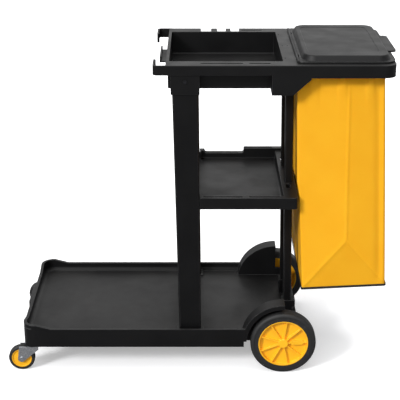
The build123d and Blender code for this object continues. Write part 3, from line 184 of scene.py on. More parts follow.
def copied(piece: bpy.types.Object, name: str, matrix: object = None) -> bpy.types.Object:
    """Copies a piece with a mesh of its own.

    Args:
        piece: The piece to copy.
        name: The copy's name.
        matrix: A turn or move for the copy's mesh, if any.

    Returns:
        The copy.
    """
    twin = bpy.data.objects.new(name, piece.data.copy())
    bpy.context.scene.collection.objects.link(twin)
    if matrix is not None:
        twin.data.transform(matrix)
    return twin


@dataclass
class Moulding:
    """A CAD node's form with its corners rounded, as a mould leaves them.

    Args:
        node: The CAD node that it stands for.
        body: The body it rides on.
        slot: The record's material slot; not used.
        edge: The corner radius, in metres.
        corner_angle: Edges that turn by more than this are rounded, in degrees.
        weld: Vertices closer than this are merged.
        flat_angle: Faces that turn by less than this are merged, in degrees.
        segments: The facets round a corner.
        shade_margin: How far past the corner angle the shading stays smooth, in degrees.
        normal_weight: How strongly large faces keep their own normal.
    """

    node: str
    body: Body
    slot: str
    edge: float = 1.3 * MM
    corner_angle: float = 34.0
    weld: float = 0.004 * MM
    flat_angle: float = 0.4
    segments: int = 2
    shade_margin: float = 10.0
    normal_weight: int = 60

    def build(self, material: bpy.types.Material) -> bpy.types.Object:
        """Copies, merges and rounds the node's mesh.

        Args:
            material: The finish.

        Returns:
            The new piece, riding on its body.
        """
        name = f"{self.node}_moulding"
        piece = copied(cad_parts[self.node], name)
        select_in(piece, Element.VERTEX, lambda centre, normal: True)
        bpy.ops.mesh.remove_doubles(threshold=self.weld)
        bpy.ops.mesh.dissolve_limited(angle_limit=math.radians(self.flat_angle))
        close_edit()
        if "custom_normal" in piece.data.attributes:
            piece.data.attributes.remove(piece.data.attributes["custom_normal"])
        apply_modifier(
            piece,
            "BEVEL",
            limit_method="ANGLE",
            angle_limit=math.radians(self.corner_angle),
            width=self.edge,
            segments=self.segments,
            use_clamp_overlap=True,
        )
        smooth(piece, self.corner_angle + self.shade_margin)
        apply_modifier(piece, "WEIGHTED_NORMAL", keep_sharp=True, weight=self.normal_weight)
        dress(piece, material)
        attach(piece, self.body.value)
        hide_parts(self.node)
        return piece


# ---- materials ----


class NodeBench:
    """Adds nodes to one tree and wires them up."""

    def __init__(self, tree: bpy.types.NodeTree) -> None:
        """Keeps the tree and empties it."""
        self.tree = tree
        self.tree.nodes.clear()

    def add(self, kind: str, inputs: dict | None = None, **settings: object) -> bpy.types.Node:
        """Adds a node.

        Args:
            kind: The node's type name, without its prefix.
            inputs: Values or sockets for its inputs, by name or number.
            **settings: The node's own properties.

        Returns:
            The node.
        """
        prefix = "" if kind.startswith("Node") else "ShaderNode"
        node = self.tree.nodes.new(prefix + kind)
        for name, value in settings.items():
            setattr(node, name, value)
        for name, value in (inputs or {}).items():
            self.feed(node.inputs[name], value)
        return node

    def feed(self, target: Socket, value: object) -> None:
        """Links a socket to an input, or sets its value.

        Args:
            target: The input.
            value: A socket, a number, or a sequence of numbers.
        """
        if isinstance(value, bpy.types.NodeSocket):
            self.tree.links.new(value, target)
            return
        if target.type == "RGBA" and len(value) == 3:
            value = (*value, 1.0)
        target.default_value = value

    def math(self, operation: str, first: object, second: object = 0.0, clamp: bool = False) -> Socket:
        """A sum of one or two values.

        Args:
            operation: Blender's name for it.
            first: A value or socket.
            second: A value or socket.
            clamp: Keeps the result from 0 to 1.

        Returns:
            The result's socket.
        """
        node = self.add("Math", {0: first, 1: second}, operation=operation, use_clamp=clamp)
        return node.outputs[0]

    def blend(self, share: object, first: object, second: object) -> Socket:
        """A mix of two colours.

        Args:
            share: How much of the second shows.
            first: The first colour or socket.
            second: The second colour or socket.

        Returns:
            The colour's socket.
        """
        node = self.add("Mix", {"Factor": share}, data_type="RGBA")
        self.feed(node.inputs[MIX_FIRST], first)
        self.feed(node.inputs[MIX_SECOND], second)
        return node.outputs[MIX_RESULT]

    def between(self, value: Socket, given: Span, wanted: Span) -> Socket:
        """Maps a value's range smoothly to another range.

        Args:
            value: The socket to map.
            given: The range's start and end.
            wanted: What the start and the end become.

        Returns:
            The mapped value's socket.
        """
        ends = {1: given[0], 2: given[1], 3: wanted[0], 4: wanted[1]}
        node = self.add("MapRange", {0: value, **ends})
        node.interpolation_type = "SMOOTHSTEP"
        return node.outputs[0]

    def bump(self, strength: float, distance: float, height: Socket, normal: Socket | None = None) -> Socket:
        """Turns a height into a normal.

        Args:
            strength: How much of it shows.
            distance: What a height of 1 stands for, in metres.
            height: The height.
            normal: The normal that it adds to, if any.

        Returns:
            The normal's socket.
        """
        inputs = {"Strength": strength, "Distance": distance, "Height": height}
        if normal is not None:
            inputs["Normal"] = normal
        return self.add("Bump", inputs).outputs[0]

    def group(self, tree: bpy.types.NodeTree, inputs: dict) -> bpy.types.Node:
        """Places a shared group.

        Args:
            tree: The group.
            inputs: Values or sockets for its inputs.

        Returns:
            The group's node.
        """
        return self.add("Group", inputs, node_tree=tree)


def new_group(name: str, inputs: dict[str, str], outputs: dict[str, str]) -> tuple[NodeBench, object, object]:
    """Starts a shader node group.

    Args:
        name: The group's name.
        inputs: Each input's name and socket type.
        outputs: Each output's name and socket type.

    Returns:
        The bench, and the group's input and output nodes.
    """
    tree = bpy.data.node_groups.new(name, "ShaderNodeTree")
    for label, kind in inputs.items():
        tree.interface.new_socket(label, in_out="INPUT", socket_type=kind)
    for label, kind in outputs.items():
        tree.interface.new_socket(label, in_out="OUTPUT", socket_type=kind)
    bench = NodeBench(tree)
    return bench, bench.add("NodeGroupInput"), bench.add("NodeGroupOutput")


FLOAT, VECTOR = "NodeSocketFloat", "NodeSocketVector"


class SharedEffects:
    """The effects that more than one finish uses, each built once."""

    def __init__(self) -> None:
        """Builds every group."""
        self.grain = self._grain()
        self.rubbed_and_highlight = self._rubbed_and_highlight()
        self.dust = self._dust()
        self.weave = self._weave()

    def _grain(self) -> bpy.types.NodeTree:
        """The fine spark-eroded grain of moulded plastic.

        Returns:
            The group.
        """
        bench, given, out = new_group(
            "Mould Grain", {"Vector": VECTOR, "Size": FLOAT}, {"Height": FLOAT, "Fleck": FLOAT}
        )
        scale = bench.math("DIVIDE", 1.0, given.outputs["Size"])
        pits = bench.add("TexNoise", {"Vector": given.outputs["Vector"], "Scale": scale, "Detail": 3.0})
        wide = bench.math("MULTIPLY", scale, 0.012)
        cloud = bench.add("TexNoise", {"Vector": given.outputs["Vector"], "Scale": wide, "Detail": 2.0})
        bench.feed(out.inputs["Height"], pits.outputs[0])
        bench.feed(out.inputs["Fleck"], cloud.outputs[0])
        return bench.tree

    def _rubbed_and_highlight(self) -> bpy.types.NodeTree:
        """A mask of the corners, which the plastics lighten partly as rubbed wear and partly as painted
        highlight.

        Returns:
            The group.
        """
        bench, given, out = new_group(
            "Rubbed Edges And Painted Highlight", {"Vector": VECTOR, "Radius": FLOAT}, {"Edge": FLOAT, "Normal": VECTOR}
        )
        bevel = bench.add("Bevel", {"Radius": given.outputs["Radius"]}, samples=4)
        plain = bench.add("NewGeometry")
        normals = {0: bevel.outputs[0], 1: plain.outputs["Normal"]}
        dot = bench.add("VectorMath", normals, operation="DOT_PRODUCT")
        bend = bench.math("SUBTRACT", 1.0, dot.outputs["Value"])
        patchy = bench.add("TexNoise", {"Vector": given.outputs["Vector"], "Scale": 38.0, "Detail": 3.0})
        patchy_share = bench.between(patchy.outputs[0], (0.3, 0.62), (0.45, 1.0))
        # This mask lightens corners partly for rubbed wear and partly as painted highlight lines along the
        # edges.
        edge = bench.math("MULTIPLY", bench.between(bend, (0.02, 0.22), (0.0, 1.0)), patchy_share)
        bench.feed(out.inputs["Edge"], edge)
        bench.feed(out.inputs["Normal"], bevel.outputs[0])
        return bench.tree

    def _dust(self) -> bpy.types.NodeTree:
        """A mask of the dust that settles on faces that look up.

        Returns:
            The group.
        """
        bench, given, out = new_group(
            "Settled Dust", {"Vector": VECTOR, "Amount": FLOAT}, {"Dust": FLOAT}
        )
        coordinates = bench.add("TexCoord")
        parts = bench.add("SeparateXYZ", {0: coordinates.outputs["Normal"]})
        up = bench.between(parts.outputs["Z"], (0.55, 0.98), (0.0, 1.0))
        broad = bench.add("TexNoise", {"Vector": given.outputs["Vector"], "Scale": 7.0, "Detail": 4.0})
        specks = bench.add("TexNoise", {"Vector": given.outputs["Vector"], "Scale": 260.0, "Detail": 2.0})
        soft = bench.between(broad.outputs[0], (0.35, 0.7), (0.35, 1.0))
        fine = bench.between(specks.outputs[0], (0.4, 0.75), (0.6, 1.0))
        mask = bench.math("MULTIPLY", bench.math("MULTIPLY", up, soft), fine)
        bench.feed(out.inputs["Dust"], bench.math("MULTIPLY", mask, given.outputs["Amount"]))
        return bench.tree

    def _weave(self) -> bpy.types.NodeTree:
        """A plain weave, from crossed threads along the cloth's own map.

        Returns:
            The group.
        """
        bench, given, out = new_group(
            "Cloth Weave", {"Vector": VECTOR, "Thread": FLOAT}, {"Height": FLOAT, "Shade": FLOAT}
        )
        scale = bench.math("DIVIDE", 1.0, given.outputs["Thread"])
        threads = {"Vector": given.outputs["Vector"], "Scale": scale, "Distortion": 0.4}
        across = bench.add("TexWave", threads, bands_direction="X")
        along = bench.add("TexWave", threads, bands_direction="Y")
        height = bench.math("MAXIMUM", across.outputs["Fac"], along.outputs["Fac"])
        slub = bench.add("TexNoise", {"Vector": given.outputs["Vector"], "Scale": 9.0, "Detail": 5.0})
        bench.feed(out.inputs["Height"], height)
        bench.feed(out.inputs["Shade"], bench.between(slub.outputs[0], (0.3, 0.7), (0.0, 1.0)))
        return bench.tree


EFFECTS = SharedEffects()


def finished(bench: NodeBench, inputs: dict) -> None:
    """Ends a material with one Principled shader.

    Args:
        bench: The material's bench.
        inputs: Values or sockets for the shader.
    """
    shader = bench.add("BsdfPrincipled", inputs)
    output = bench.add("OutputMaterial")
    bench.feed(output.inputs["Surface"], shader.outputs[0])


def new_material(name: str, display: Colour) -> tuple[bpy.types.Material, NodeBench, Socket]:
    """Starts a material that reads the piece's own coordinates.

    Args:
        name: The material's name.
        display: Its plain colour.

    Returns:
        The material, its bench and the coordinates' socket.
    """
    material = bpy.data.materials.new(name)
    material.use_nodes = True
    material.diffuse_color = (*display, 1.0)
    bench = NodeBench(material.node_tree)
    return material, bench, bench.add("TexCoord").outputs["Object"]


@dataclass(frozen=True)
class MouldedPlastic:
    """Grained polypropylene with corners lightened partly by rubbing and partly as painted highlight, and a
    little dust.
    """

    name: str
    colour: Colour
    # The corners' colour: partly rubbed wear, partly painted highlight along the edges.
    rubbed_and_highlight: Colour
    dusty: Colour
    roughness: float
    grain: float = 0.9 * MM
    depth: float = 0.06 * MM
    corner: float = 1.6 * MM
    dust: float = 0.5
    specular: float = 0.5
    cloud_gain: float = 1.35

    def make(self) -> bpy.types.Material:
        """Builds the material.

        Returns:
            The material.
        """
        material, bench, place = new_material(self.name, self.colour)
        grain = bench.group(EFFECTS.grain, {"Vector": place, "Size": self.grain})
        edges = bench.group(EFFECTS.rubbed_and_highlight, {"Vector": place, "Radius": self.corner})
        dust = bench.group(EFFECTS.dust, {"Vector": place, "Amount": self.dust})
        clouded = bench.between(grain.outputs["Fleck"], (0.3, 0.7), (0.0, 0.35))
        tone = bench.blend(clouded, self.colour, tuple(self.cloud_gain * part for part in self.colour))
        # Painted highlight: the corners take a lighter colour, partly for wear and partly to draw edge
        # highlights.
        tone = bench.blend(edges.outputs["Edge"], tone, self.rubbed_and_highlight)
        tone = bench.blend(dust.outputs["Dust"], tone, self.dusty)
        around = (self.roughness - 0.05, self.roughness + 0.06)
        rough = bench.between(grain.outputs["Fleck"], (0.25, 0.75), around)
        rough = bench.math("SUBTRACT", rough, bench.math("MULTIPLY", edges.outputs["Edge"], 0.08), clamp=True)
        bump = bench.bump(0.5, self.depth, grain.outputs["Height"], edges.outputs["Normal"])
        shine = {"Roughness": rough, "Specular IOR Level": self.specular}
        finished(bench, {"Base Color": tone, "Normal": bump, **shine})
        return material


@dataclass(frozen=True)
class Rubber:
    """Dull tyre rubber with scuffs on its tread."""

    name: str
    colour: Colour
    scuffed: Colour
    roughness: float = 0.62

    def make(self) -> bpy.types.Material:
        """Builds the material.

        Returns:
            The material.
        """
        material, bench, place = new_material(self.name, self.colour)
        grain = bench.group(EFFECTS.grain, {"Vector": place, "Size": 1.4 * MM})
        scuffs = bench.add("TexNoise", {"Vector": place, "Scale": 60.0, "Detail": 6.0, "Roughness": 0.7})
        patchy_share = bench.between(scuffs.outputs[0], (0.52, 0.78), (0.0, 0.7))
        tone = bench.blend(patchy_share, self.colour, self.scuffed)
        around = (self.roughness - 0.07, self.roughness + 0.1)
        rough = bench.between(grain.outputs["Fleck"], (0.2, 0.8), around)
        bump = bench.bump(0.4, 0.1 * MM, grain.outputs["Height"])
        finished(bench, {"Base Color": tone, "Roughness": rough, "Normal": bump})
        return material


@dataclass(frozen=True)
class ZincSteel:
    """Zinc-plated steel with a faint spangle and rubbed corners."""

    name: str
    colour: Colour
    dull: Colour
    roughness: float = 0.3

    def make(self) -> bpy.types.Material:
        """Builds the material.

        Returns:
            The material.
        """
        material, bench, place = new_material(self.name, self.colour)
        edges = bench.group(EFFECTS.rubbed_and_highlight, {"Vector": place, "Radius": 0.5 * MM})
        spangle = bench.add("TexVoronoi", {"Vector": place, "Scale": 240.0})
        shade = bench.between(spangle.outputs["Distance"], (0.1, 0.7), (0.0, 0.6))
        tone = bench.blend(shade, self.colour, self.dull)
        scratch = bench.add("TexNoise", {"Vector": place, "Scale": 420.0, "Detail": 4.0})
        around = (self.roughness - 0.06, self.roughness + 0.16)
        rough = bench.between(scratch.outputs[0], (0.3, 0.75), around)
        bump = bench.bump(0.15, 0.04 * MM, scratch.outputs[0], edges.outputs["Normal"])
        finished(bench, {"Base Color": tone, "Roughness": rough, "Metallic": 1.0, "Normal": bump})
        return material


@dataclass(frozen=True)
class CoatedCloth:
    """Woven nylon with a thin coating, which reads the cloth's own map."""

    name: str
    colour: Colour
    shade: Colour
    map_name: str
    roughness: float = 0.62
    thread: float = 3.0 * MM
    specular: float = 0.1
    glow: float = 0.12
    glow_colour: Colour = (1.0, 0.3, 0.06)
    glow_reach: float = 12 * MM

    def make(self) -> bpy.types.Material:
        """Builds the material.

        Returns:
            The material.
        """
        material, bench, place = new_material(self.name, self.colour)
        cloth_map = bench.add("UVMap", uv_map=self.map_name)
        weave = bench.group(EFFECTS.weave, {"Vector": cloth_map.outputs[0], "Thread": self.thread})
        tone = bench.blend(
            bench.math("MULTIPLY", weave.outputs["Shade"], 0.45), self.colour, self.shade
        )
        pressed = bench.add("TexNoise", {"Vector": place, "Scale": 16.0, "Detail": 3.0, "Roughness": 0.55})
        around = (self.roughness - 0.05, self.roughness + 0.08)
        rough = bench.between(weave.outputs["Shade"], (0.0, 1.0), around)
        folds = bench.bump(0.25, 2.0 * MM, pressed.outputs[0])
        bump = bench.bump(0.3, 0.12 * MM, weave.outputs["Height"], folds)
        glow = {
            "Subsurface Weight": self.glow,
            "Subsurface Radius": self.glow_colour,
            "Subsurface Scale": self.glow_reach,
        }
        shine = {"Roughness": rough, "Specular IOR Level": self.specular}
        finished(bench, {"Base Color": tone, "Normal": bump, **shine, **glow})
        return material


# Each plastic's second colour lightens its corners: partly rubbed wear, partly painted highlight along the
# edges.
BLACK_FRAME = MouldedPlastic(
    "Black Frame Plastic",
    (0.0036, 0.0036, 0.0039),
    (0.075, 0.075, 0.077),
    (0.045, 0.044, 0.042),
    0.44,
    corner=2.4 * MM,
    dust=0.35,
    specular=0.22,
)
BLACK_LID = MouldedPlastic(
    "Black Lid Plastic",
    (0.006, 0.006, 0.0064),
    (0.05, 0.05, 0.051),
    (0.04, 0.039, 0.037),
    0.48,
    corner=2.0 * MM,
    dust=0.2,
    specular=0.26,
)
# The posts' wide corner mask and light corner colour paint highlight lines along the uprights' edges.
BLACK_POST = MouldedPlastic(
    "Black Post Plastic",
    (0.0034, 0.0034, 0.0037),
    (0.085, 0.085, 0.087),
    (0.05, 0.048, 0.046),
    0.42,
    corner=3.2 * MM,
    specular=0.2,
)
YELLOW_WHEEL = MouldedPlastic(
    "Yellow Wheel Plastic",
    (0.93, 0.47, 0.012),
    (0.98, 0.66, 0.09),
    (0.8, 0.5, 0.12),
    0.36,
    grain=0.7 * MM,
    depth=0.03 * MM,
    corner=0.9 * MM,
    dust=0.15,
)
TYRE_RUBBER = Rubber("Tyre Rubber", (0.012, 0.012, 0.0125), (0.04, 0.039, 0.038))
ZINC = ZincSteel("Zinc Steel", (0.66, 0.67, 0.69), (0.42, 0.44, 0.47))
DARK_STEEL = ZincSteel("Blackened Screw Steel", (0.05, 0.05, 0.055), (0.02, 0.02, 0.022), 0.4)
WHITE_BUSH = MouldedPlastic(
    "White Bush Plastic", (0.72, 0.71, 0.67), (0.85, 0.84, 0.8), (0.5, 0.48, 0.44), 0.4, corner=0.4 * MM
)
BAG_CLOTH = CoatedCloth("Amber Bag Cloth", (0.98, 0.45, 0.018), (0.93, 0.39, 0.012), CLOTH_MAP)
# The hem's deeper, redder orange is painted shade: it stands for the saturated shade that the tray's skirt
# casts on the hem.
HEM_CLOTH_PAINTED_SHADE = CoatedCloth("Hem Cloth With Painted Shade", (0.9, 0.24, 0.006), (0.82, 0.2, 0.004), CLOTH_MAP)
BOARD = MouldedPlastic(
    "Black Board", (0.006, 0.006, 0.006), (0.03, 0.03, 0.03), (0.04, 0.04, 0.04), 0.6, corner=0.8 * MM
)


# ---- the bag ----


class Panel(Enum):
    """The bag's four panels, each with the phase of its waves."""

    LEFT = 0.4
    REAR = 2.2
    RIGHT = 3.9
    FRONT = 5.3


@dataclass
class BagSize:
    """The bag's own sizes, in metres; its place comes from the CAD node."""

    rows: int = 150
    side_steps: int = 84
    end_steps: int = 27
    corner_steps: int = 5
    cloth: float = 1.1 * MM
    corner_front: float = 4 * MM
    corner_rear: float = 7 * MM
    seam: float = 40 * MM
    fullness: float = 1.02

    # How far inside the cloth's outer face each layer runs.
    shell_inset: float = 0.6 * MM
    hem_inset: float = -0.1 * MM
    stitch_inset: float = -0.15 * MM
    tab_inset: float = -0.9 * MM
    binding_inset: float = -1.9 * MM

    # The front and rear edges, by their drop below the top and their run to the rear.
    neck_drop: float = 75 * MM
    belly_drop: float = 383 * MM
    neck_run: float = 1.5 * MM
    belly_run: float = 10.5 * MM
    front_run: float = 28.5 * MM
    rear_run: float = 37 * MM
    tilt: float = 13 * MM

    # The ridge down each side and the creases that meet on it, with the shares of the way along.
    apex_height: float = 158 * MM
    crease_top: float = 0.585
    crease_apex: float = 0.533
    ridge: float = 15 * MM
    top_ridge: float = 6 * MM
    ridge_fall: float = 1.1
    ridge_start: float = 60 * MM
    crease: float = 1.6 * MM
    crease_half: float = 3.6 * MM
    crease_fade: float = 6.0
    crease_foot: float = 12 * MM
    crease_slope: float = 0.78

    # The pegs along a side and an end, and the cloth that falls in between them.
    peg_first: float = 0.176
    peg_pitch: float = 0.324
    peg_half: float = 13 * MM
    pegs: int = 3
    end_peg_first: float = 0.15
    end_peg_pitch: float = 0.7
    end_gather: float = 0.6
    scallop: float = 6.5 * MM
    scallop_fade: float = 70 * MM

    # Each wave's height, turn along the panel, turn down the bag and share of the panel's phase.
    waves: tuple[tuple[float, float, float, float], ...] = (
        (0.55, 13.0, 2.1, 1.0),
        (0.35, 29.0, -5.0, 1.7),
        (0.3, 9.0, 7.5, 0.6),
    )
    billow: float = 1.6 * MM
    billow_power: float = 0.8
    end_billow: float = 0.5
    rear_swell: float = 3.0 * MM
    front_swell: float = -2.5 * MM
    swell_power: float = 0.6
    side_rim: float = 0.06
    end_rim: float = 0.1

    # The groove beside the rear edge, and how far below the top and above the foot it is full.
    rear_dip: float = 3.6 * MM
    rear_dip_in: float = 19 * MM
    rear_dip_half: float = 11 * MM
    dip_top: float = 120 * MM
    dip_foot: float = 50 * MM

    # The front corners' bulge, by its height above the foot and its distance from the middle.
    corner_push: float = 6.5 * MM
    push_levels: tuple[float, float, float, float] = (0.300, 0.345, 0.635, 0.662)
    push_run: float = 120 * MM
    push_from: float = 104 * MM
    push_rise: float = 60 * MM

    hem: float = 33 * MM
    hem_cloth: float = 0.6 * MM
    hem_steps: int = 6
    stitch_up: float = 3 * MM
    hem_stitch: float = 5.2 * MM
    stitch_long: float = 3.2 * MM
    stitch_radius: float = 0.42 * MM
    stitch_sides: int = 6
    stitch_taper: float = 0.5
    stitch_crown: float = 0.4
    tab_top: float = 18 * MM
    tab_foot: float = 40 * MM
    tab_half: float = 6.5 * MM
    tab_cloth: float = 0.9 * MM
    tab_steps: int = 7
    eyelet_apart: float = 20 * MM
    eyelet_reach: float = 16 * MM
    eyelet_radius: float = 5.35 * MM
    eyelet_cut: float = 12 * MM
    eyelet_sides: int = 24
    binding_up: float = 7.5 * MM
    binding_down: float = 4 * MM
    binding: float = 0.9 * MM
    binding_edge: float = 0.3 * MM


class HangingBag:
    """The waste bag: one lofted shell of cloth that sags, with its hem and stitches."""

    def __init__(self, size: BagSize) -> None:
        """Reads the bag's place from its CAD node.

        Args:
            size: The bag's own sizes.
        """
        self.size = size
        self.low, self.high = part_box("bag")
        self.front = self.low.x
        self.rear = self.high.x - size.rear_run
        self.half = self.high.y
        self.height = self.high.z - self.low.z

    def edges_at(self, share: float) -> tuple[Vector, Vector]:
        """The bag's front and rear edge lines at a share of the way down.

        Args:
            share: 0 at the hem, 1 at the foot.

        Returns:
            The points (x, 0, z) of the front and of the rear edge.
        """
        size = self.size
        drops = [0.0, size.hem, size.neck_drop, size.belly_drop, self.height]
        runs = [0.0, 0.0, size.neck_run, size.belly_run, size.front_run]
        front_x = self.front + float(np.interp(share * self.height, drops, runs))
        rear_height = self.height - size.tilt
        straight = size.hem / rear_height
        rear_x = self.rear + size.rear_run * max(0.0, (share - straight) / (1 - straight))
        front = Vector((front_x, 0, self.high.z - share * self.height))
        return front, Vector((rear_x, 0, self.high.z - share * rear_height))

    def ridge_at(self, along: float, width: float, up: float) -> float:
        """How far a side panel stands out, above and below the point where its creases meet.

        Args:
            along: The place along the panel, 0 at its front edge and 1 at its rear.
            width: The panel's width.
            up: The height above the foot.

        Returns:
            The outward move, in metres.
        """
        size = self.size
        rise = max(0.0, (up - size.apex_height) / (self.height - size.apex_height))
        middle = size.crease_apex + (size.crease_top - size.crease_apex) * rise
        edge = along / middle if along < middle else (1 - along) / (1 - middle)
        edge = min(1.0, max(0.0, edge))
        if up >= size.apex_height:
            stands = size.ridge + (size.top_ridge - size.ridge) * min(1.0, rise * size.ridge_fall)
            off = abs(along - middle) * width
            return stands * edge + self.crease_at(off) * min(1.0, (1 - rise) * size.crease_fade)
        share = up / size.apex_height
        reach = max(share, TINY)
        off = abs(edge - share) * width / 2 * size.crease_slope
        fold = self.crease_at(off) * min(1.0, up / size.crease_foot)
        return size.ridge * share * min(1.0, edge / reach) + fold

    def crease_at(self, off: float) -> float:
        """The height of a pressed crease at a distance from its line."""
        return self.size.crease * math.exp(-((off / self.size.crease_half) ** 2))

    def billow_at(self, place: float, share: float, panel: Panel) -> float:
        """Slow waves in hanging cloth.

        Args:
            place: The distance along the panel.
            share: 0 at the hem, 1 at the foot.
            panel: The panel.

        Returns:
            The outward move, in metres.
        """
        size = self.size
        total = 0.0
        for high, turn, fall, part in size.waves:
            total += high * math.sin(turn * place + fall * share + part * panel.value)
        return total * math.sin(math.pi * min(1.0, share)) ** size.billow_power * size.billow

    def gathered(self, place: float, first: float, pitch: float, width: float, depth: float) -> float:
        """How far the cloth falls in between the pegs that hold it.

        Args:
            place: The share of the panel's width.
            first: The first peg's share.
            pitch: The share between two pegs.
            width: The panel's width.
            depth: The depth below the hem's top.

        Returns:
            The inward move, in metres.
        """
        size = self.size
        nearest = first + pitch * round((place - first) / pitch)
        off = (place - nearest) * width / size.peg_half
        held = math.exp(-(off**4))
        return size.scallop * (1 - held) * math.exp(-((depth / size.scallop_fade) ** 2))

    def push(self, spot: Vector, across: float) -> float:
        """How far the front corners bulge forward beside the posts, above the shelf.

        Args:
            spot: The point before the move.
            across: Its distance behind the front edge.

        Returns:
            The forward move, in metres.
        """
        size = self.size
        high = np.interp(spot.z - self.low.z, size.push_levels, (0.0, 1.0, 1.0, 0.0))
        wide = np.interp(abs(spot.y), (size.push_from, size.push_from + size.push_rise), (0.0, 1.0))
        near = max(0.0, 1 - across / size.push_run)
        return size.corner_push * float(high * wide * wide * (3 - 2 * wide)) * near * near

    def side_move(self, across: float, width: float, share: float, panel: Panel) -> float:
        """The outward move of a side panel.

        Args:
            across: The distance behind the front edge.
            width: The panel's width.
            share: 0 at the hem, 1 at the foot.
            panel: The panel.

        Returns:
            The move, in metres.
        """
        size = self.size
        up, depth = (1 - share) * self.height, share * self.height
        along = across / width
        rim = min(1.0, along / size.side_rim, (1 - along) / size.side_rim)
        gather = self.gathered(along, size.peg_first, size.peg_pitch, width, depth)
        dip = size.rear_dip * math.exp(-(((width - across - size.rear_dip_in) / size.rear_dip_half) ** 2))
        full = min(1.0, depth / size.dip_top) * min(1.0, up / size.dip_foot)
        move = (self.billow_at(across, share, panel) - gather - dip * full) * rim
        return move + self.ridge_at(along, width, up) * min(1.0, depth / size.ridge_start)

    def end_move(self, y: float, half: float, share: float, panel: Panel, most: float) -> float:
        """The outward move of the front or the rear panel.

        Args:
            y: The place across the cart.
            half: Half the panel's width.
            share: 0 at the hem, 1 at the foot.
            panel: The panel.
            most: Its swell at the middle.

        Returns:
            The move, in metres.
        """
        size = self.size
        across = (y + half) / (2 * half)
        rim = min(1.0, across / size.end_rim, (1 - across) / size.end_rim)
        swell = most * math.sin(math.pi * share) * math.sin(math.pi * across) ** size.swell_power
        pegs = (size.end_peg_first, size.end_peg_pitch)
        gather = self.gathered(across, *pegs, 2 * half, share * self.height) * size.end_gather
        return swell + rim * (self.billow_at(y, share, panel) * size.end_billow - gather)

    def ring(self, share: float, inset: float = 0.0) -> list[Vector]:
        """One closed line round the bag.

        Args:
            share: 0 at the hem, 1 at the foot.
            inset: How far inside the cloth's outer face it runs.

        Returns:
            The line's points, from the front left corner towards the rear.
        """
        size = self.size
        front, rear = self.edges_at(share)
        width = rear.x - front.x - 2 * inset
        half = self.half - inset
        fore, aft = size.corner_front, size.corner_rear
        points: list[Vector] = []

        def place(across: float, y: float, out: tuple[float, float], move: float) -> None:
            """Adds a point, moved outwards in the ring's plane.

            Args:
                across: Its distance behind the front edge.
                y: Its place across the cart.
                out: The way outwards.
                move: How far it moves.
            """
            x = front.x + inset + across + out[0] * move
            along = min(1.0, max(0.0, (across + inset) / (width + 2 * inset)))
            z = front.z + (rear.z - front.z) * along
            spot = Vector((x, y + out[1] * move, z))
            spot.x -= self.push(spot, across)
            points.append(spot)

        def corner(x: float, y: float, radius: float, start: float) -> None:
            """Adds a quarter turn round a corner's centre.

            Args:
                x: The centre's distance behind the front edge.
                y: The centre's place across the cart.
                radius: The corner's radius.
                start: The angle that it starts at.
            """
            for step in range(1, size.corner_steps):
                angle = start + math.pi / 2 * step / size.corner_steps
                turn = (math.cos(angle), math.sin(angle))
                place(x + radius * turn[0], y + radius * turn[1], turn, 0.0)

        straight = np.linspace(fore, width - aft, size.side_steps)
        behind = np.linspace(aft - half, half - aft, size.end_steps)
        ahead = np.linspace(half - fore, fore - half, size.end_steps)
        for across in straight:
            place(across, -half, (0, -1), self.side_move(across, width, share, Panel.LEFT))
        corner(width - aft, aft - half, aft, -math.pi / 2)
        for y in behind:
            place(width, y, (1, 0), self.end_move(y, half, share, Panel.REAR, size.rear_swell))
        corner(width - aft, half - aft, aft, 0.0)
        for across in straight[::-1]:
            place(across, half, (0, 1), self.side_move(across, width, share, Panel.RIGHT))
        corner(fore, half - fore, fore, math.pi / 2)
        for y in ahead:
            place(0.0, y, (-1, 0), self.end_move(y, half, share, Panel.FRONT, size.front_swell))
        corner(fore, fore - half, fore, math.pi)
        return points

    def loft(self, name: str, shares: Sequence[float], inset: float, foot: bool) -> bpy.types.Object:
        """Makes a mesh from rings, with the cloth's own map on it.

        Args:
            name: The piece's name.
            shares: How far down each ring is.
            inset: How far inside the outer face it runs.
            foot: Closes the last ring.

        Returns:
            The new piece.
        """
        rings = [self.ring(share, inset) for share in shares]
        count = len(rings[0])
        faces = []
        for row in range(len(rings) - 1):
            this, below = row * count, (row + 1) * count
            for step in range(count):
                after = (step + 1) % count
                faces.append((this + step, below + step, below + after, this + after))
        if foot:
            last = (len(rings) - 1) * count
            faces.append(tuple(last + step for step in reversed(range(count))))
        mesh = bpy.data.meshes.new(name)
        mesh.from_pydata([point for ring in rings for point in ring], [], faces)
        around = [0.0]
        for step in range(count):
            around.append(around[-1] + (rings[0][(step + 1) % count] - rings[0][step]).length)
        layer = mesh.uv_layers.new(name=CLOTH_MAP)
        values = []
        for face in mesh.polygons:
            corners = list(face.vertices)
            steps = [corner % count for corner in corners]
            quad = len(corners) == 4
            wrapped = quad and max(steps) == count - 1 and min(steps) == 0
            for corner, step in zip(corners, steps):
                if not quad:
                    spot = mesh.vertices[corner].co
                    values += [spot.x, spot.y]
                    continue
                across = around[count] if wrapped and step == 0 else around[step]
                values += [across, -self.height * shares[corner // count]]
        layer.data.foreach_set("uv", values)
        piece = bpy.data.objects.new(name, mesh)
        bpy.context.scene.collection.objects.link(piece)
        return piece

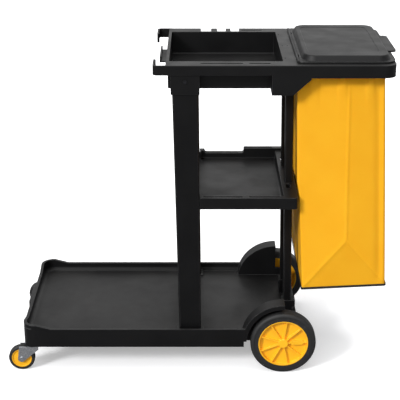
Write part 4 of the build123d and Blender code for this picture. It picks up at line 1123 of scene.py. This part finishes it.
    def eyelet_holes(self) -> bpy.types.Object:
        """Cylinders where the eyelets go through the cloth.

        Returns:
            The cutter, which is thrown away once it has cut.
        """
        size = self.size
        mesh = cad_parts["bag_eyelets"].data
        spots = np.array([vertex.co for vertex in mesh.vertices])
        centres: list[tuple[np.ndarray, np.ndarray]] = []
        for spot in spots:
            if all(np.linalg.norm(spot - centre[0]) > size.eyelet_apart for centre in centres):
                near = spots[np.linalg.norm(spots - spot, axis=1) < size.eyelet_reach]
                centres.append(((near.max(0) + near.min(0)) / 2, near.max(0) - near.min(0)))
        cutters = []
        for middle, extent in centres:
            axis = int(np.argmin(extent))
            turn = (math.pi / 2, 0, 0) if axis == 1 else (0, math.pi / 2, 0)
            form = {"vertices": size.eyelet_sides, "radius": size.eyelet_radius, "depth": size.eyelet_cut}
            bpy.ops.mesh.primitive_cylinder_add(location=middle, rotation=turn, **form)
            cutters.append(bpy.context.object)
        cutter = join(cutters, "eyelet_holes")
        settle(cutter)
        return cutter

    def stitches(self) -> bpy.types.Object:
        """A row of stitches round the hem's lower fold.

        Returns:
            The new piece.
        """
        size = self.size
        line = self.ring((size.hem - size.stitch_up) / self.height, size.stitch_inset)
        radius = size.stitch_radius
        bpy.ops.mesh.primitive_cylinder_add(vertices=size.stitch_sides, radius=radius, depth=size.stitch_long)
        stitch = bpy.context.object
        select_in(stitch, Element.FACE, lambda centre, normal: abs(normal.z) > 0.9)
        bpy.ops.mesh.inset(thickness=radius * size.stitch_taper, depth=radius * size.stitch_crown)
        close_edit()
        made = []
        travelled, due = 0.0, 0.0
        for step, start in enumerate(line):
            end = line[(step + 1) % len(line)]
            run = end - start
            while due < travelled + run.length:
                spot = start + run * ((due - travelled) / run.length)
                turn = run.to_track_quat("Z", "Y").to_matrix().to_4x4()
                turn.translation = spot
                made.append(copied(stitch, "stitch", turn))
                due += size.hem_stitch
            travelled += run.length
        bpy.data.objects.remove(stitch)
        return join(made, "bag_hem_stitches")

    def peg_tabs(self, finish: bpy.types.Material) -> bpy.types.Object:
        """Short cloth tabs over the hem, one below each side peg.

        Args:
            finish: The tabs' finish.

        Returns:
            The new piece.
        """
        size = self.size
        shares = np.linspace(size.tab_top, size.tab_foot, size.tab_steps) / self.height
        rings = [self.ring(float(share), size.tab_inset)[: size.side_steps] for share in shares]
        width = self.rear - self.front
        spots, faces = [], []
        for side in (1, -1):
            for peg in range(size.pegs):
                middle = self.front + (size.peg_first + peg * size.peg_pitch) * width
                base = len(spots)
                for line in rings:
                    along = [spot.x for spot in line]
                    for x in middle + np.linspace(-1, 1, size.tab_steps) * size.tab_half:
                        y = float(np.interp(x, along, [spot.y for spot in line]))
                        spots.append((x, side * y, float(np.interp(x, along, [spot.z for spot in line]))))
                for row in range(size.tab_steps - 1):
                    for step in range(size.tab_steps - 1):
                        first = base + row * size.tab_steps + step
                        face = (first, first + size.tab_steps, first + size.tab_steps + 1, first + 1)
                        faces.append(face if side == 1 else face[::-1])
        mesh = bpy.data.meshes.new("bag_peg_tabs")
        mesh.from_pydata(spots, [], faces)
        layer = mesh.uv_layers.new(name=CLOTH_MAP)
        flat = [spots[loop.vertex_index] for loop in mesh.loops]
        layer.data.foreach_set("uv", [part for x, _, z in flat for part in (x, z)])
        tabs = bpy.data.objects.new("bag_peg_tabs", mesh)
        bpy.context.scene.collection.objects.link(tabs)
        apply_modifier(tabs, "SOLIDIFY", thickness=size.tab_cloth, offset=0.0)
        smooth(tabs, TRIM_ANGLE)
        dress(tabs, finish)
        return tabs

    def foot_binding(self, finish: bpy.types.Material) -> bpy.types.Object:
        """A dark strip that binds the foot's edge to the board below it.

        Args:
            finish: The strip's finish.

        Returns:
            The new piece.
        """
        size = self.size
        start = 1 - size.binding_up / self.height
        shares = (start, (1 + start) / 2, 1.0)
        strip = self.loft("bag_foot_binding", shares, size.binding_inset, foot=False)
        count = len(strip.data.vertices)
        activate(strip)
        for number, vertex in enumerate(strip.data.vertices):
            vertex.select = number >= count - count // len(shares)
        bpy.context.tool_settings.mesh_select_mode = Element.VERTEX.value
        bpy.ops.object.mode_set(mode="EDIT")
        bpy.ops.transform.translate(value=(0, 0, -size.binding_down))
        close_edit()
        apply_modifier(strip, "SOLIDIFY", thickness=size.binding, offset=0.0)
        apply_modifier(strip, "BEVEL", width=size.binding_edge, segments=2, limit_method="ANGLE")
        smooth(strip, TRIM_ANGLE)
        dress(strip, finish)
        return strip

    def build(
        self,
        cloth: bpy.types.Material,
        hem_painted_shade: bpy.types.Material,
        dark: bpy.types.Material,
        held_by: bpy.types.Object,
    ) -> None:
        """Makes the bag, its hem, tabs and stitches, and its foot's binding.

        Args:
            cloth: The cloth's finish.
            hem_painted_shade: The hem's finish, a deeper orange that is painted shade for the tray skirt's
                shadow.
            dark: The binding's finish.
            held_by: The piece whose pegs hold the bag; not used.
        """
        size = self.size
        shares = [float(share) for share in np.linspace(0, 1, size.rows)]
        shell = self.loft("bag_shell", shares, size.shell_inset, foot=True)
        apply_modifier(shell, "SOLIDIFY", thickness=size.cloth, offset=-1.0)
        hem_end = size.hem / self.height
        hem_shares = [hem_end * step / size.hem_steps for step in range(size.hem_steps + 1)]
        hem = self.loft("bag_hem", hem_shares, size.hem_inset, foot=False)
        apply_modifier(hem, "SOLIDIFY", thickness=size.hem_cloth, offset=-1.0)
        holes = self.eyelet_holes()
        for piece in (shell, hem):
            apply_modifier(piece, "BOOLEAN", operation="DIFFERENCE", object=holes, solver="EXACT")
            smooth(piece, CLOTH_ANGLE)
        dress(shell, cloth)
        # The hem wears the deeper orange, painted shade for the shadow under the tray's skirt.
        dress(hem, hem_painted_shade)
        bpy.data.objects.remove(holes)
        stitches = self.stitches()
        smooth(stitches, CLOTH_ANGLE)
        dress(stitches, cloth)
        tabs = self.peg_tabs(cloth)
        binding = self.foot_binding(dark)
        for piece in (shell, hem, stitches, tabs, binding):
            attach(piece, Body.CART.value)
        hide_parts("bag")


# ---- the moulded frame ----


@dataclass
class CartFrame:
    """The black mouldings: deck, shelf, tray, uprights and posts."""

    skirt_drop: float = 8 * MM
    skirt_from: float = 318 * MM
    skirt_side: float = 205 * MM
    skirt_end: float = 548 * MM
    skirt_low: tuple[float, float] = (930 * MM, 940.5 * MM)

    def deepen_skirt(self, tray: bpy.types.Object) -> None:
        """Lowers the edge of the tray's skirt around the bag.

        Args:
            tray: The tray's moulding.
        """
        low, high = self.skirt_low

        def on_edge(spot: Vector, normal: Vector) -> bool:
            """Tells whether a vertex is on the skirt's lower edge, beside or behind the bag.

            Args:
                spot: The vertex's place.
                normal: Its normal, which doesn't matter here.

            Returns:
                True if it is.
            """
            outside = abs(spot.y) > self.skirt_side or spot.x > self.skirt_end
            return low < spot.z < high and spot.x > self.skirt_from and outside

        select_in(tray, Element.VERTEX, on_edge)
        bpy.ops.transform.translate(value=(0, 0, -self.skirt_drop))
        close_edit()

    def build(self) -> bpy.types.Object:
        """Makes each moulding.

        Returns:
            The tray, which holds the bag.
        """
        black = BLACK_FRAME.make()
        posts = BLACK_POST.make()
        tray = Moulding("top_tray", Body.CART, "frame_black").build(black)
        self.deepen_skirt(tray)
        Moulding("base_platform", Body.CART, "frame_black", edge=1.6 * MM).build(black)
        Moulding("middle_shelf", Body.CART, "frame_black").build(black)
        for side in SIDES:
            Moulding(f"front_upright_{side}", Body.CART, "post_black", edge=3.0 * MM).build(posts)
            Moulding(f"rear_post_{side}", Body.CART, "post_black", edge=0.6 * MM).build(posts)
        LOG.info("frame: deck, shelf, tray, two uprights and two posts")
        return tray


class CartLid:
    """The lid over the bag."""

    def build(self) -> None:
        """Makes the lid's moulding."""
        Moulding("lid", Body.LID, "lid_black", edge=1.2 * MM, corner_angle=26.0).build(BLACK_LID.make())
        LOG.info("lid: one moulding")


class Wheels:
    """The big rear wheels and the front casters."""

    def build(self) -> None:
        """Rounds the rims' corners and dresses the rest."""
        yellow = YELLOW_WHEEL.make()
        rubber = TYRE_RUBBER.make()
        zinc = ZINC.make()
        white = WHITE_BUSH.make()
        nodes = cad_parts
        for side in SIDES:
            rear, caster = Body(f"rear_wheel_{side}"), Body(f"caster_wheel_{side}")
            Moulding(f"rear_rim_{side}", rear, "wheel_yellow", edge=0.7 * MM).build(yellow)
            Moulding(f"caster_rim_{side}", caster, "wheel_yellow", edge=0.5 * MM).build(yellow)
            dress(nodes[f"rear_hub_cap_{side}"], yellow)
            for tyre in ("rear_tyre", "caster_tyre"):
                dress(nodes[f"{tyre}_{side}"], rubber)
            for metal in ("caster_stem", "caster_fork", "caster_bolt", "caster_nut"):
                dress(nodes[f"{metal}_{side}"], zinc)
            for bush in ("rear_bush", "caster_bush"):
                dress(nodes[f"{bush}_{side}"], white)
        for metal in ("rear_axle", "push_nuts", "bag_eyelets", "hinge_pins"):
            dress(nodes[metal], zinc)
        dress(nodes["axle_spacers"], white)
        LOG.info("wheels: rims, tyres, forks and axles")


class SmallParts:
    """Screws and the bag's board."""

    def build(self) -> None:
        """Dresses the small parts."""
        steel = DARK_STEEL.make()
        for node in ("upright_screws", "post_screws"):
            dress(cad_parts[node], steel)
        dress(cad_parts["bag_board"], BOARD.make())
        LOG.info("small parts: screws and the bag's board")


# ---- the studio ----


@dataclass(frozen=True)
class Sun:
    """A broad, even light.

    Args:
        name: The light's name.
        strength: Its strength.
        spread: The angle that it fills, in degrees.
        turn: Its turn about X, Y and Z, in degrees.
    """

    name: str
    strength: float
    spread: float
    turn: tuple[float, float, float]

    def build(self) -> None:
        """Makes the light."""
        light = bpy.data.lights.new(self.name, "SUN")
        light.energy = self.strength
        light.angle = math.radians(self.spread)
        lamp = bpy.data.objects.new(self.name, light)
        lamp.rotation_euler = tuple(math.radians(part) for part in self.turn)
        bpy.context.scene.collection.objects.link(lamp)


@dataclass
class Studio:
    """A pale floor, soft light and the camera."""

    suns: tuple[Sun, ...] = (
        Sun("Overhead", 1.6, 80.0, (0.0, 0.0, 0.0)),
        Sun("Key", 2.5, 14.0, (58.0, 0.0, -46.0)),
        Sun("Front Fill", 0.8, 60.0, (64.0, 0.0, -10.0)),
    )
    camera_place: tuple[float, float, float] = (0.011, -3.241, 1.756)
    camera_tilt: float = 68.4
    lens: float = 100.0
    sensor: float = 36.0
    farthest: float = 100.0
    floor_half: float = 14.0
    floor_pale: Colour = (0.86, 0.86, 0.87)
    floor_glow: float = 0.34
    floor_dim: Colour = (0.2, 0.2, 0.205)

    def floor(self) -> None:
        """A pale floor that is darker to reflections than to the eye."""
        bpy.ops.mesh.primitive_plane_add(size=2 * self.floor_half, location=(0, 0, 0))
        floor = bpy.context.object
        floor.name = "studio_floor"
        material = bpy.data.materials.new("Pale Floor")
        material.use_nodes = True
        bench = NodeBench(material.node_tree)
        rays = bench.add("LightPath")
        pale = bench.add("BsdfDiffuse", {"Color": self.floor_pale})
        glow = bench.add("Emission", {"Color": WHITE, "Strength": self.floor_glow})
        seen = bench.add("AddShader", {0: pale.outputs[0], 1: glow.outputs[0]})
        dim = bench.add("BsdfDiffuse", {"Color": self.floor_dim})
        eye_ray = rays.outputs["Is Camera Ray"]
        mix = bench.add("MixShader", {0: eye_ray, 1: dim.outputs[0], 2: seen.outputs[0]})
        output = bench.add("OutputMaterial")
        bench.feed(output.inputs["Surface"], mix.outputs[0])
        dress(floor, material)

    def sky(self) -> None:
        """A white surround, brightest behind the cart and to its rear end's side."""
        world = bpy.data.worlds.new("Studio Surround")
        world.use_nodes = True
        bpy.context.scene.world = world
        bench = NodeBench(world.node_tree)
        direction = bench.add("TexCoord")
        parts = bench.add("SeparateXYZ", {0: direction.outputs["Generated"]})
        behind = bench.between(parts.outputs["Y"], (-0.5, 0.75), (0.35, 1.0))
        beside = bench.between(parts.outputs["X"], (-1.0, 0.2), (0.25, 1.0))
        strength = bench.math("MULTIPLY", behind, beside)
        rays = bench.add("LightPath")
        eye = bench.add("Background", {"Color": WHITE, "Strength": 1.0})
        light = bench.add("Background", {"Color": WHITE, "Strength": strength})
        eye_ray = rays.outputs["Is Camera Ray"]
        mix = bench.add("MixShader", {0: eye_ray, 1: light.outputs[0], 2: eye.outputs[0]})
        output = bench.add("OutputWorld")
        bench.feed(output.inputs["Surface"], mix.outputs[0])

    def camera(self) -> None:
        """The camera, above the cart's near side."""
        lens = bpy.data.cameras.new("Camera")
        lens.lens = self.lens
        lens.sensor_width = self.sensor
        lens.clip_end = self.farthest
        camera = bpy.data.objects.new("Camera", lens)
        camera.location = self.camera_place
        camera.rotation_euler = (math.radians(self.camera_tilt), 0, 0)
        bpy.context.scene.collection.objects.link(camera)
        bpy.context.scene.camera = camera

    def build(self) -> None:
        """Sets up the whole studio."""
        self.floor()
        self.sky()
        for sun in self.suns:
            sun.build()
        self.camera()
        bpy.context.scene.view_settings.view_transform = "Standard"
        LOG.info("studio: floor, surround, %d lights and a camera", len(self.suns))


def corners(box: tuple[Vector, Vector]) -> list[list[float]]:
    """A box's two corners as plain lists."""
    return [list(corner) for corner in box]


def main() -> None:
    """Builds the cart's pieces and the studio."""
    logging.basicConfig(level=logging.INFO, format="%(message)s")
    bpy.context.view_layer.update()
    tray = CartFrame().build()
    CartLid().build()
    HangingBag(BagSize()).build(BAG_CLOTH.make(), HEM_CLOTH_PAINTED_SHADE.make(), BOARD.make(), tray)
    Wheels().build()
    SmallParts().build()
    Studio().build()
    bpy.context.view_layer.update()


if __name__ == "__main__":
    main()
